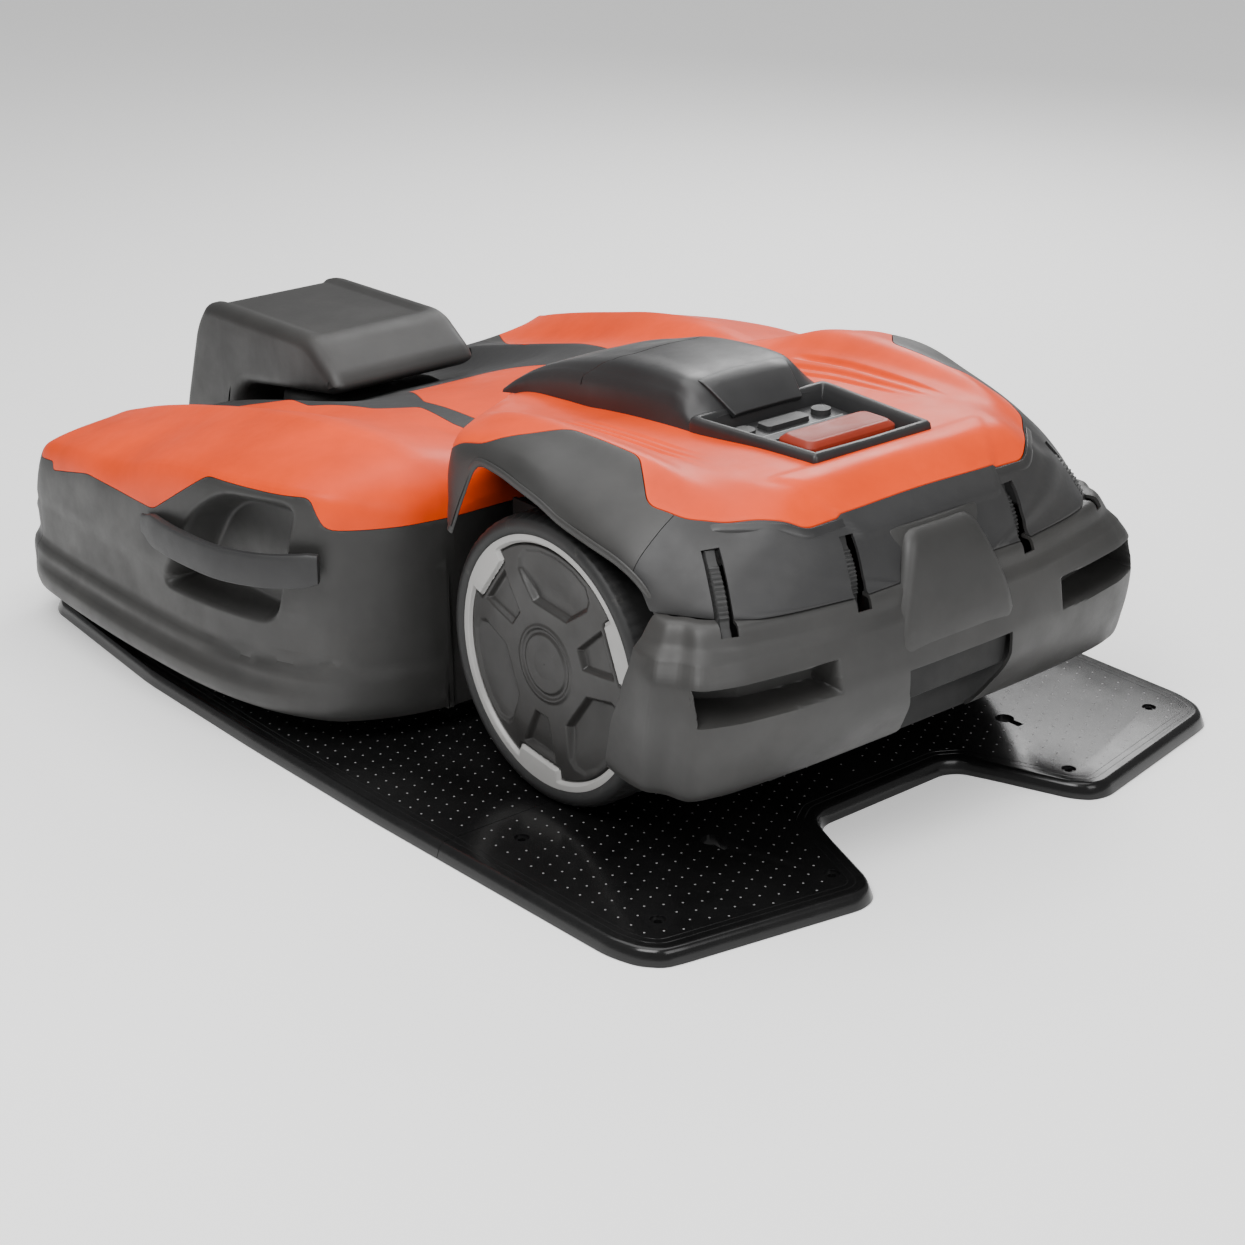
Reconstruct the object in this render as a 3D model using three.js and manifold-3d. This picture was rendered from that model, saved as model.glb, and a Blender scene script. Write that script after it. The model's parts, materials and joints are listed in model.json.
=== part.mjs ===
// Robotic lawn mower standing on its charging station.
// Units are millimetres, +Z is up, +X is the mower's left, the mower drives off
// the station towards +Y. The origin is at the bottom centre of the whole object.
import * as THREE from 'three';
import { mergeVertices } from 'three/addons/utils/BufferGeometryUtils.js';
import Module from 'manifold-3d';

const wasm = await Module();
wasm.setup();
const { Manifold, Mesh } = wasm;

// ---------------------------------------------------------------- dimensions
const GAP = 0.8;                 // joint line between neighbouring covers
const SHELL = 6;                 // wall thickness of the moulded covers
const PLATE_TOP = 21.6;          // height of the station plate
const GROUND = 22.0;             // height the wheels stand at, just clear of the plate

const WHEEL_Y = 439;             // drive wheel axle
const WHEEL_R = 205;
const WHEEL_Z = GROUND + WHEEL_R;
const TYRE_IN = 296;
const TYRE_OUT = 392;

const DISC_R = 172;              // cutting discs
const DISC_X = 350;
const DISC_Y_SIDE = -330;
const DISC_Y_MID = -200;

const CASTER_X = 455;
const CASTER_Y = -580;
const CASTER_R = 50;
const CASTER_TRAIL = 26;

// ------------------------------------------------------------------ materials
const COLOURS = {
  orange: [0xe4511b, 0.38, 0.0],
  grey: [0x3d3d3d, 0.75, 0.0],
  panel: [0x37383a, 0.85, 0.0],
  black: [0x18191a, 0.45, 0.0],
  plate: [0x101112, 0.35, 0.0],
  rubber: [0x161616, 0.9, 0.0],
  silver: [0xb9bbbd, 0.35, 0.8],
  steel: [0x9a9da0, 0.35, 1.0],
  alloy: [0xa9acae, 0.4, 0.9],
  red: [0xa8331f, 0.45, 0.0],
};

const group = new THREE.Group();
group.name = 'robotic_lawn_mower';

// ------------------------------------------------------------------- helpers
function fromArrays(verts, tris) {
  let vol = 0;
  for (const [a, b, c] of tris) {
    const A = verts[a];
    const B = verts[b];
    const C = verts[c];
    vol += A[0] * (B[1] * C[2] - B[2] * C[1]);
    vol += A[1] * (B[2] * C[0] - B[0] * C[2]);
    vol += A[2] * (B[0] * C[1] - B[1] * C[0]);
  }
  const order = vol < 0 ? [0, 2, 1] : [0, 1, 2];
  const tv = new Uint32Array(tris.length * 3);
  tris.forEach((t, i) => order.forEach((o, k) => { tv[3 * i + k] = t[o]; }));
  const vp = new Float32Array(verts.length * 3);
  verts.forEach((v, i) => v.forEach((c, k) => { vp[3 * i + k] = c; }));
  return new Manifold(new Mesh({ numProp: 3, vertProperties: vp, triVerts: tv }));
}

function fromGeometry(geometry) {
  let g = geometry.clone();
  g.deleteAttribute('normal');
  g.deleteAttribute('uv');
  g = mergeVertices(g, 1e-4);
  const p = g.getAttribute('position');
  const verts = [];
  for (let i = 0; i < p.count; i += 1) verts.push([p.getX(i), p.getY(i), p.getZ(i)]);
  const idx = g.getIndex();
  const tris = [];
  for (let i = 0; i < idx.count; i += 3) {
    const t = [idx.getX(i), idx.getX(i + 1), idx.getX(i + 2)];
    if (t[0] !== t[1] && t[1] !== t[2] && t[0] !== t[2]) tris.push(t);
  }
  return fromArrays(verts, tris);
}

// A solid through closed rings of equal point count, capped at both ends.
function loft(rings, flat) {
  const n = rings[0].length;
  const verts = rings.flat();
  const tris = [];
  for (let r = 0; r + 1 < rings.length; r += 1) {
    for (let i = 0; i < n; i += 1) {
      const a = r * n + i;
      const b = r * n + ((i + 1) % n);
      tris.push([a, b, b + n], [a, b + n, a + n]);
    }
  }
  [0, rings.length - 1].forEach((r) => {
    const outline = rings[r].map((p) => new THREE.Vector2(...flat(p)));
    const faces = THREE.ShapeUtils.triangulateShape(outline, []);
    const clockwise = THREE.ShapeUtils.isClockWise(outline);
    for (const f of faces) {
      const t = f.map((k) => r * n + k);
      const flip = (r === 0) !== clockwise;
      tris.push(flip ? [t[0], t[2], t[1]] : t);
    }
  });
  // the side walls run with the ring; the caps must agree with them
  const edges = new Set();
  tris.slice(0, -1).forEach((t) => t.forEach((v, k) => edges.add(`${v}_${t[(k + 1) % 3]}`)));
  const lastTri = tris[tris.length - 1];
  const clash = lastTri.some((v, k) => edges.has(`${v}_${lastTri[(k + 1) % 3]}`));
  if (clash) {
    const sides = (rings.length - 1) * n * 2;
    for (let i = sides; i < tris.length; i += 1) tris[i] = [tris[i][0], tris[i][2], tris[i][1]];
  }
  return fromArrays(verts, tris);
}

// Half outlines (x >= 0, last point on the axis) mirrored into closed rings.
function mirrorRing(half, place) {
  const right = half.map((p) => place(p[0], p[1]));
  const left = half.filter((p) => p[0] > 0).map((p) => place(-p[0], p[1])).reverse();
  return right.concat(left);
}

const loftY = (sections) => loft(
  sections.map((s) => mirrorRing(s.half, (x, z) => [x, s.y, z])),
  (p) => [p[0], p[2]],
);
const loftZ = (sections) => loft(
  sections.map((s) => mirrorRing(s.half, (x, y) => [x, y, s.z])),
  (p) => [p[0], p[1]],
);

// Prism of an outline: 'z' outlines are (x, y), 'x' outlines are (y, z), 'y' outlines are (x, z).
function prism(points, axis, lo, hi) {
  const place = {
    z: (p, h) => [p[0], p[1], h],
    x: (p, h) => [h, p[0], p[1]],
    y: (p, h) => [p[0], h, p[1]],
  }[axis];
  const rings = [points.map((p) => place(p, lo)), points.map((p) => place(p, hi))];
  const flat = {
    z: (p) => [p[0], p[1]],
    x: (p) => [p[1], p[2]],
    y: (p) => [p[0], p[2]],
  }[axis];
  return loft(rings, flat);
}

function grow(points, d) {
  const n = points.length;
  let area = 0;
  points.forEach((p, i) => {
    const q = points[(i + 1) % n];
    area += p[0] * q[1] - q[0] * p[1];
  });
  const s = area > 0 ? 1 : -1;
  return points.map((p, i) => {
    const a = points[(i + n - 1) % n];
    const b = points[(i + 1) % n];
    const e1 = new THREE.Vector2(p[0] - a[0], p[1] - a[1]).normalize();
    const e2 = new THREE.Vector2(b[0] - p[0], b[1] - p[1]).normalize();
    const n1 = [e1.y * s, -e1.x * s];
    const n2 = [e2.y * s, -e2.x * s];
    const k = 1 + n1[0] * n2[0] + n1[1] * n2[1];
    const f = d / Math.max(k, 0.4);
    return [p[0] + (n1[0] + n2[0]) * f, p[1] + (n1[1] + n2[1]) * f];
  });
}

const both = (pts) => pts.concat(pts.filter((p) => p[0] > 0).map((p) => [-p[0], p[1]]).reverse());
const box = (x0, x1, y0, y1, z0, z1) => Manifold.cube([x1 - x0, y1 - y0, z1 - z0])
  .translate([x0, y0, z0]);
const roundBox = (x0, x1, y0, y1, z0, z1, c) => prism([
  [x0 + c, y0], [x1 - c, y0], [x1, y0 + c], [x1, y1 - c],
  [x1 - c, y1], [x0 + c, y1], [x0, y1 - c], [x0, y0 + c],
], 'z', z0, z1);
const cylZ = (x, y, z0, z1, r, n = 20) => Manifold.cylinder(z1 - z0, r, r, n).translate([x, y, z0]);
const cylX = (y, z, x0, x1, r, n = 24) => Manifold.cylinder(x1 - x0, r, r, n)
  .rotate([0, 90, 0]).translate([x0, y, z]);

// Solid of revolution about an axis parallel to X: profile points are (x, radius).
function turnX(profile, y, z, n) {
  const pts = profile.map((p) => new THREE.Vector2(p[1], p[0]));
  pts.push(pts[0].clone());
  const g = new THREE.LatheGeometry(pts, n);
  g.rotateZ(-Math.PI / 2);
  g.translate(0, y, z);
  return fromGeometry(g);
}

function largest(m) {
  const parts = m.decompose();
  return parts.reduce((a, b) => (Math.abs(b.volume()) > Math.abs(a.volume()) ? b : a));
}

function add(name, solid, colour) {
  const m = largest(largest(solid).simplify(0.04));
  const mesh = m.getMesh();
  const g = new THREE.BufferGeometry();
  g.setAttribute('position', new THREE.BufferAttribute(new Float32Array(mesh.vertProperties), 3));
  g.setIndex(new THREE.BufferAttribute(new Uint32Array(mesh.triVerts), 1));
  g.computeVertexNormals();
  const [c, rough, metal] = COLOURS[colour];
  const mat = new THREE.MeshStandardMaterial({ color: c, roughness: rough, metalness: metal });
  const node = new THREE.Mesh(g, mat);
  node.name = name;
  group.add(node);
  return m;
}

function addPair(name, solid, colour) {
  add(`${name}_left`, solid, colour);
  add(`${name}_right`, solid.mirror([1, 0, 0]), colour);
}

// ------------------------------------------------------------ station plate
const plateHalf = [
  [0, -905], [120, -905], [165, -890], [205, -800], [480, -690], [524, -668], [540, -640],
  [572, -300], [576, 0], [574, 300], [560, 780], [548, 820], [528, 842], [505, 848],
  [245, 896], [222, 890], [206, 870], [165, 760], [146, 716], [120, 700], [0, 700],
];
const plateOutline = both(plateHalf);
const plateRings = [
  grow(plateOutline, 9).map((p) => [p[0], p[1], 0]),
  grow(plateOutline, 8.5).map((p) => [p[0], p[1], 6]),
  grow(plateOutline, 3).map((p) => [p[0], p[1], 18]),
  plateOutline.map((p) => [p[0], p[1], PLATE_TOP]),
];
let plate = loft(plateRings, (p) => [p[0], p[1]]);
const SPLIT_Y = 442;
for (const s of [-1, 1]) {
  for (const [x, y] of [[485, 781], [235, 838], [480, 500], [480, -560]]) {
    plate = plate.subtract(cylZ(s * x, y, -1, 40, 5.5, 8));
    plate = plate.subtract(cylZ(s * x, y, PLATE_TOP - 5, 40, 11, 12));
  }
  const keyhole = cylZ(s * 292, 668, -1, 40, 14, 12).add(box(s * 292 - 6, s * 292 + 6, 668, 700, -1, 40));
  plate = plate.subtract(keyhole);
  // ribs under the plate are left standing between shallow pockets
  for (let k = 0; k < 5; k += 1) {
    const y0 = -600 + 200 * k;
    plate = plate.subtract(box(s * 320 - 140, s * 320 + 140, y0, y0 + 170, -1, 14));
  }
}
for (let k = 0; k < 5; k += 1) {
  const y0 = -600 + 200 * k;
  plate = plate.subtract(box(-150, 150, y0, y0 + 170, -1, 14));
}
add('plate_front', plate.intersect(box(-700, 700, -1000, SPLIT_Y - 0.4, -5, 60)), 'plate');
add('plate_rear', plate.intersect(box(-700, 700, SPLIT_Y + 0.4, 1000, -5, 60)), 'plate');

// ----------------------------------------------------------- charging tower
const towerSide = [
  [-912, 0], [-889, 215], [-834, 378], [-804, 415], [-790, 419], [-500, 424], [-478, 418],
  [-415, 376], [-396, 357], [-423, 340], [-683, 297], [-715, 269], [-724, 180], [-728, 0],
];
const towerFront = both([
  [0, -10], [144, -10], [143, 300], [141, 372], [120, 410], [108, 440], [0, 440],
]);
const towerOuter = prism(towerSide, 'x', -160, 160).intersect(prism(towerFront, 'y', -950, -300));
const towerInner = prism(grow(towerSide, -5), 'x', -137, 137)
  .intersect(prism(grow(towerFront, -5), 'y', -950, -300));
let tower = towerOuter.subtract(towerInner)
  .subtract(box(-135, 135, -900, -732, -20, PLATE_TOP + 8))
  .intersect(box(-200, 200, -1000, 0, PLATE_TOP + 0.4, 600));
tower = tower.add(box(-134, 134, -895, -735, PLATE_TOP + 0.4, PLATE_TOP + 5));
for (const s of [-1, 1]) {
  tower = tower.subtract(box(s * 60 - 16, s * 60 + 16, -660, -560, 280, 330));
  tower = tower.add(prism([[-800, 372], [-770, 372], [-500, 380], [-500, 388], [-770, 384]], 'x',
    s * 137 - 4, s * 137 + 4).intersect(box(-145, 145, -900, -300, 300, 420)));
}
const contact = box(46, 74, -657, -563, 284, 312).intersect(
  prism([[-657, 292], [-563, 308], [-563, 330], [-657, 330]], 'x', 0, 200),
);
tower = tower.subtract(box(44, 76, -659, -561, 270, 330)).subtract(box(-76, -44, -659, -561, 270, 330));
add('tower_housing', tower, 'grey');
addPair('tower_contact', contact, 'steel');
add('tower_supply', roundBox(-90, 90, -870, -770, PLATE_TOP + 6, 200, 10), 'black');

// -------------------------------------------------------------- cutting deck
// Half sections: skirt foot, ridge, flank, shoulder, crest, valley, centre.
const deckTable = [
  [-701, 66, 520, 532, 534, [528, 170], [505, 184], [400, 192], [300, 193], [190, 193], 192],
  [-682, 64, 545, 555, 555, [549, 182], [530, 198], [400, 208], [300, 209], [190, 206], 205],
  [-649, 62, 565, 575, 571, [562, 208], [540, 228], [400, 240], [300, 240], [190, 234], 230],
  [-608, 60, 575, 590, 580, [572, 272], [556, 303], [430, 322], [300, 314], [190, 282], 268],
  [-550, 60, 580, 597, 584, [574, 285], [553, 316], [410, 347], [300, 336], [195, 297], 288],
  [-450, 60, 586, 603, 588, [578, 300], [557, 331], [402, 375], [300, 360], [200, 320], 314],
  [-350, 60, 588, 606, 590, [578, 304], [556, 340], [400, 398], [300, 384], [205, 352], 346],
  [-240, 60, 588, 606, 590, [577, 320], [552, 372], [400, 421], [300, 408], [210, 386], 381],
  [-110, 60, 583, 600, 586, [572, 345], [553, 392], [395, 437], [300, 422], [215, 405], 406],
  [0, 60, 563, 580, 568, [556, 350], [538, 402], [385, 438], [300, 424], [215, 410], 412],
  [61, 60, 538, 553, 545, [538, 350], [520, 405], [370, 432], [290, 422], [210, 410], 412],
  [112, 60, 503, 515, 510, [503, 340], [485, 398], [355, 420], [280, 412], [205, 406], 406],
  [154, 60, 427, 440, 436, [430, 320], [415, 372], [330, 394], [265, 396], [200, 394], 394],
  [172, 60, 350, 360, 358, [352, 300], [340, 347], [290, 364], [245, 368], [190, 370], 372],
];
function deckSections(inset, drop, y0, y1) {
  return deckTable.map((row, i) => {
    const [y, zb, xb, xr, xm, e, s, c, v, w, zc] = row;
    const low = zb - drop;
    const ridge = row[0] < -690 ? 84 : 80;
    const d = inset;
    let yy = y;
    if (i === 0) yy = y0;
    if (i === deckTable.length - 1) yy = y1;
    return {
      y: yy,
      half: [
        [0, low], [xb - d, low], [xr - d, ridge], [xm - d, 108], [xm - d - 1, 150],
        [e[0] - d, e[1] - d * 0.4], [s[0] - d, s[1] - d], [c[0], c[1] - d], [v[0], v[1] - d],
        [w[0], w[1] - d], [0, zc - d],
      ],
    };
  });
}
const deckOuter = loftY(deckSections(0, 0, -701, 172));
const deckInner = loftY(deckSections(SHELL, 30, -694, 166));

// grip recess in the flank, with its own wall left standing inside
const gripOutline = [[-237, 189], [30, 200], [70, 390], [-75, 370], [-130, 330]];
const gripIn = 505;
const gripCut = prism(gripOutline, 'x', gripIn, 700);
const gripWall = prism(grow(gripOutline, 5), 'x', gripIn - 5, 700);
const mirrorX = (m) => m.mirror([1, 0, 0]);
const deckHollow = deckInner.subtract(gripWall).subtract(mirrorX(gripWall));
const deckShell = deckOuter.subtract(deckHollow).subtract(gripCut).subtract(mirrorX(gripCut));

// outlines of the pieces the deck shell is divided into
const coverPlan = [
  [346, -607], [700, -607], [700, 230], [236, 230], [248, -20], [236, -150], [203, -392], [222, -440],
];
const coverSide = [
  [-607, 284], [-442, 304], [-243, 303], [-112, 386], [84, 396], [106, 352], [230, 348],
  [230, 600], [-607, 600],
];
const coverZone = prism(coverPlan, 'z', 200, 600).intersect(prism(coverSide, 'x', 0, 700));
const coverKeep = prism(grow(coverPlan, GAP), 'z', 200, 601)
  .intersect(prism(grow(coverSide, GAP), 'x', 0, 701));
const badgePlan = both([[0, -297], [75, -297], [177, -121], [196, 0], [196, 140], [0, 140]]);
const badgeZone = prism(badgePlan, 'z', 330, 600);
const badgeKeep = prism(grow(badgePlan, GAP), 'z', 330, 601);
const bumperSide = [[-760, 40], [-640, 40], [-640, 196], [-652, 216], [-760, 216]];
const bumperZone = prism(bumperSide, 'x', -700, 700);
const bumperKeep = prism(grow(bumperSide, GAP), 'x', -700, 700);
const saddlePlan = both([[0, -630], [346, -607 - GAP], [222, -440], [203, -392],
  [236, -150], [248, -20], [236, 230], [0, 230]].map((p) => [p[0], p[1]]));
const saddleZone = prism(saddlePlan, 'z', 262, 600);
const saddleKeep = prism(grow(saddlePlan, GAP * 0.5), 'z', 262 - GAP, 601);

const restOfDeck = deckShell.subtract(coverKeep).subtract(mirrorX(coverKeep));
addPair('deck_cover', deckShell.intersect(coverZone), 'orange');
add('deck_badge_panel', deckShell.intersect(badgeZone), 'orange');
add('deck_bumper', deckShell.intersect(bumperZone), 'grey');
add('deck_saddle', restOfDeck.intersect(saddleZone).subtract(badgeKeep), 'panel');
add('deck_skirt', restOfDeck.subtract(saddleKeep).subtract(bumperKeep), 'grey');

// grip bars bridging the recesses
const gripPath = [
  [593, -262, 279], [603, -200, 279], [607, -120, 280], [602, -30, 284], [582, 50, 292],
  [556, 98, 299], [534, 122, 303],
];
const gripRings = gripPath.map(([x, y, z], i) => {
  const h = i === 0 || i === gripPath.length - 1 ? 20 : 24;
  const t = 16;
  return [[x, y, z - h], [x, y, z + h * 0.8], [x - 3, y, z + h], [x - t, y, z + h],
    [x - t, y, z - h]];
});
const gripLoft = loft(gripRings, (p) => [p[0], p[2]]);
const deckSkin = loftY(deckSections(-0.5, 0, -702, 173));
addPair('grip_bar', gripLoft.subtract(deckSkin.subtract(gripCut)), 'panel');

// deck frame, cutting height carrier, motors and discs
const discSpots = [['left', DISC_X, DISC_Y_SIDE], ['mid', 0, DISC_Y_MID],
  ['right', -DISC_X, DISC_Y_SIDE]];
let frame = roundBox(-500, 500, -640, 90, 205, 213, 60);
for (const [, x, y] of discSpots) frame = frame.subtract(cylZ(x, y, 100, 300, 78));
for (const s of [-1, 1]) {
  frame = frame.add(box(s * 40 - 6, s * 40 + 6, 60, 160, 190, 240));
  frame = frame.subtract(cylZ(s * CASTER_X, CASTER_Y, 150, 300, 16, 16));
  frame = frame.subtract(cylZ(s * 180, -430, 150, 300, 9, 12)).subtract(cylZ(s * 180, -40, 150, 300, 9, 12));
}
frame = frame.subtract(gripWall.translate([-3, 0, 0])).subtract(mirrorX(gripWall.translate([-3, 0, 0])));
add('deck_frame', frame, 'alloy');

let carrier = roundBox(-430, 430, -420, -110, 150, 157, 50);
for (const s of [-1, 1]) {
  carrier = carrier.add(cylZ(s * 180, -430 + 40, 156, 157, 8, 12));
}
carrier = carrier.add(box(-190, -170, -445, -400, 150, 157)).add(box(170, 190, -445, -400, 150, 157));
carrier = carrier.add(box(-190, -170, -130, -25, 150, 157)).add(box(170, 190, -130, -25, 150, 157));
for (const s of [-1, 1]) {
  carrier = carrier.add(cylZ(s * 180, -430, 150, 228, 7, 12)).add(cylZ(s * 180, -40, 150, 228, 7, 12));
}
for (const [, x, y] of discSpots) carrier = carrier.subtract(cylZ(x, y, 100, 300, 20, 16));
add('height_carrier', carrier, 'alloy');
for (const [side, x, y] of discSpots) {
  const motor = cylZ(x, y, 157.5, 232, 62).add(cylZ(x, y, 157.5, 162, 70))
    .add(cylZ(x, y, 231, 240, 40)).subtract(cylZ(x, y, 150, 176, 11, 10));
  add(`cutter_motor_${side}`, motor, 'black');
  let disc = cylZ(x, y, 84, 88, DISC_R - 30, 24).add(cylZ(x, y, 87, 100, 52, 16))
    .add(cylZ(x, y, 99, 175, 9, 10));
  for (let k = 0; k < 5; k += 1) {
    const blade = prism([[-11, 0], [11, 0], [11, 52], [-7, 52]], 'z', 80, 82.5)
      .add(cylZ(0, 10, 80, 88, 6, 6)).translate([0, DISC_R - 52, 0])
      .rotate([0, 0, 72 * k]).translate([x, y, 0]);
    disc = disc.add(blade);
  }
  add(`cutter_disc_${side}`, disc, 'steel');
}

// casters under the front corners of the deck
const casterWheelY = CASTER_Y - CASTER_TRAIL;
const casterZ = GROUND + CASTER_R;
const casterTyre = turnX([[-17, 9], [17, 9], [17, 42], [12, 49], [6, CASTER_R], [-6, CASTER_R],
  [-12, 49], [-17, 42]], casterWheelY, casterZ, 20).translate([CASTER_X, 0, 0]);
let fork = box(CASTER_X - 24, CASTER_X + 24, CASTER_Y - 32, CASTER_Y + 16, 126, 132);
fork = fork.add(box(CASTER_X - 24, CASTER_X - 19, casterWheelY - 14, casterWheelY + 14, 64, 130));
fork = fork.add(box(CASTER_X + 19, CASTER_X + 24, casterWheelY - 14, casterWheelY + 14, 64, 130));
fork = fork.add(cylX(casterWheelY, casterZ, CASTER_X - 24, CASTER_X + 24, 8, 10));
fork = fork.add(cylZ(CASTER_X, CASTER_Y, 130, 217, 14, 12));
fork = fork.add(cylZ(CASTER_X, CASTER_Y, 130, 150, 20, 12));
addPair('caster_fork', fork, 'steel');
addPair('caster_wheel', casterTyre, 'rubber');

// ----------------------------------------------------------------- drive unit
// Half sections of the covers: foot, arch edge, shoulder, hump, valley, under the top cover.
const unitTable = [
  [-8, 429, [98, 430], [97, 432], [94, 434], [88, 435], [60, 437], 438],
  [60, 438, [172, 440], [170, 448], [160, 456], [135, 460], [100, 458], 458],
  [140, 441, [252, 446], [250, 466], [236, 484], [196, 479], [125, 468], 468],
  [205, 441, [352, 448], [350, 470], [330, 493], [285, 500], [127, 474], 474],
  [251, 368, [402, 400], [400, 455], [384, 497], [300, 517], [180, 482], 478],
  [313, 368, [405, 420], [403, 497], [384, 508], [300, 527], [185, 490], 485],
  [400, 340, [407, 420], [403, 487], [384, 500], [300, 530], [190, 498], 492],
  [490, 330, [407, 410], [402, 460], [380, 484], [295, 527], [195, 502], 500],
  [560, 330, [406, 400], [398, 440], [372, 468], [291, 518], [205, 506], 505],
  [620, 330, [402, 390], [388, 427], [352, 458], [290, 496], [212, 507], 506],
  [665, 330, [392, 385], [372, 415], [338, 446], [286, 474], [214, 505], 507],
  [700, 330, [372, 382], [354, 405], [328, 430], [282, 456], [205, 499], 506],
  [735, 330, [348, 378], [335, 392], [300, 420], [258, 450], [214, 469], 474],
  [770, 330, [300, 377], [285, 383], [245, 400], [205, 420], [150, 435], 440],
  [798, 330, [160, 376], [150, 377], [120, 378], [90, 379], [60, 380], 381],
];
function unitSections(inset, drop, y0, y1) {
  return unitTable.map((row, i) => {
    const [y, zb, f, a, s, h, v, zc] = row;
    const d = inset;
    let yy = y;
    if (i === 0) yy = y0;
    if (i === unitTable.length - 1) yy = y1;
    return {
      y: yy,
      half: [
        [0, zb - drop], [f[0] - d, zb - drop], [f[0] - d, f[1]], [a[0] - d, a[1] - d * 0.5],
        [s[0] - d * 0.8, s[1] - d], [h[0], h[1] - d], [v[0], v[1] - d], [0, zc - d],
      ],
    };
  });
}
const unitOuter = loftY(unitSections(0, 0, -8, 798));
const unitInner = loftY(unitSections(SHELL, 40, -3, 791));

// wheel arches: open towards the wheel, lip runs along the outside face
const archOutline = [[200, 300], [253, 366], [318, 480], [409, 472], [491, 448], [605, 422],
  [664, 372], [664, 300]];
const archCut = prism(archOutline, 'x', 270, 460);
const wheelRoom = cylX(WHEEL_Y, WHEEL_Z, 280, 398, WHEEL_R + 14, 36);
const unitShell = unitOuter.subtract(unitInner)
  .subtract(archCut.intersect(box(390, 500, 0, 900, 0, 700)))
  .subtract(mirrorX(archCut.intersect(box(390, 500, 0, 900, 0, 700))))
  .subtract(box(-500, 500, 100, 900, 0, 377))
  .subtract(wheelRoom).subtract(mirrorX(wheelRoom));

const hoodPlan = both([
  [0, -20], [110, -20], [260, 135], [350, 196], [392, 250], [388, 318], [304, 398], [295, 524],
  [338, 590], [318, 640], [232, 722], [205, 741], [0, 741],
]);
const hoodSide = [[-20, 400], [120, 420], [200, 432], [251, 456], [330, 470], [741, 467], [741, 600],
  [-20, 600]];
const hoodZone = prism(hoodPlan, 'z', 300, 600).intersect(prism(hoodSide, 'x', -500, 500));
const hoodKeep = prism(grow(hoodPlan, GAP), 'z', 300, 601)
  .intersect(prism(grow(hoodSide, GAP), 'x', -501, 501));
// opening in the hood under the top cover and the control panel
const bayPlan = both([[0, 60], [70, 60], [100, 200], [118, 440], [103, 640], [0, 640]]);
const bay = prism(bayPlan, 'z', 300, 700);
const rearPanelPlan = both([[0, 626], [440, 626], [440, 900], [0, 900]]);
const rearZone = prism(rearPanelPlan, 'z', 300, 600);
const rearKeep = prism(grow(rearPanelPlan, GAP), 'z', 300, 601);

// strap slots cross the joint line between rear panel and bumper
const strapSlots = [
  { x: 155, top: [764, 449], low: [797, 356], turn: 6 },
  { x: 337, top: [690, 455], low: [766, 362], turn: 24 },
];
const slotBox = (s, half, t0, t1, front, back) => {
  const dy = s.low[0] - s.top[0];
  const dz = s.top[1] - s.low[1];
  const tilt = THREE.MathUtils.radToDeg(Math.atan2(dy, dz));
  const len = Math.hypot(dy, dz);
  const cy = (s.top[0] + s.low[0]) / 2;
  const cz = (s.top[1] + s.low[1]) / 2;
  return box(-half, half, -back, front, -len / 2 + t0, len / 2 - t1)
    .rotate([tilt, 0, 0]).rotate([0, 0, -s.turn]).translate([s.x, cy, cz]);
};
let slots = slotBox(strapSlots[0], 11.5, 0, 0, 40, 34);
slots = slots.add(slotBox(strapSlots[1], 11.5, 0, 0, 40, 34));
slots = slots.add(mirrorX(slots));

// boss in the middle of the rear, standing over the joint line
const bossOuter = loftZ([
  { z: 300, half: [[0, 770], [112, 770], [110, 818], [104, 822], [0, 822]] },
  { z: 344, half: [[0, 770], [106, 770], [103, 808], [96, 813], [0, 813]] },
  { z: 435, half: [[0, 752], [68, 752], [64, 778], [58, 782], [0, 782]] },
]);
const bossKeep = loftZ([
  { z: 290, half: [[0, 700], [114, 700], [112, 840], [104, 840], [0, 840]] },
  { z: 344, half: [[0, 700], [108, 700], [105, 840], [96, 840], [0, 840]] },
  { z: 437, half: [[0, 700], [70, 700], [66, 840], [58, 840], [0, 840]] },
]);
const rearPanel = unitShell.intersect(rearZone).subtract(hoodKeep).subtract(slots).subtract(bossKeep);
const fender = unitShell.subtract(hoodKeep).subtract(rearKeep).intersect(box(60, 500, -50, 900, 0, 700));
add('hood', unitShell.intersect(hoodZone).subtract(bay), 'orange');
addPair('fender', fender, 'grey');
add('rear_panel', rearPanel, 'panel');

// dark ledge under the rear edge of the hood
const ledgePlan = both([[0, 700], [190, 700], [296, 628], [306, 634], [200, 730], [185, 737], [0, 737]]);
const ledge = prism(ledgePlan, 'z', 446, 456).intersect(unitInner);
add('hood_ledge', ledge.subtract(slots), 'black');

// top cover over the electronics, control frame and keypad
const coverSections = [
  [-12, [104, 444], [100, 446], [90, 448], 449],
  [60, [106, 466], [100, 484], [84, 492], 494],
  [183, [114, 479], [104, 513], [86, 524], 526],
  [190, [115, 480], [106, 520], [88, 535], 538],
  [240, [118, 486], [108, 535], [90, 549], 552],
  [330, [123, 497], [112, 530], [96, 552], 557],
  [400, [126, 506], [112, 532], [90, 552], 557],
  [440, [127, 512], [114, 528], [84, 548], 553],
];
const coverLoft = (d, y0, y1) => loftY(coverSections.map((r, i) => {
  const [y, a, b, c, zc] = r;
  let yy = y;
  if (i === 0) yy = y0;
  if (i === coverSections.length - 1) yy = y1;
  return { y: yy, half: [[0, a[1] - 14 - d * 6], [a[0] - d, a[1] - 14 - d * 6],
    [a[0] - d, a[1]], [b[0] - d, b[1] - d * 0.7], [c[0], c[1] - d], [0, zc - d]] };
}));
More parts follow.
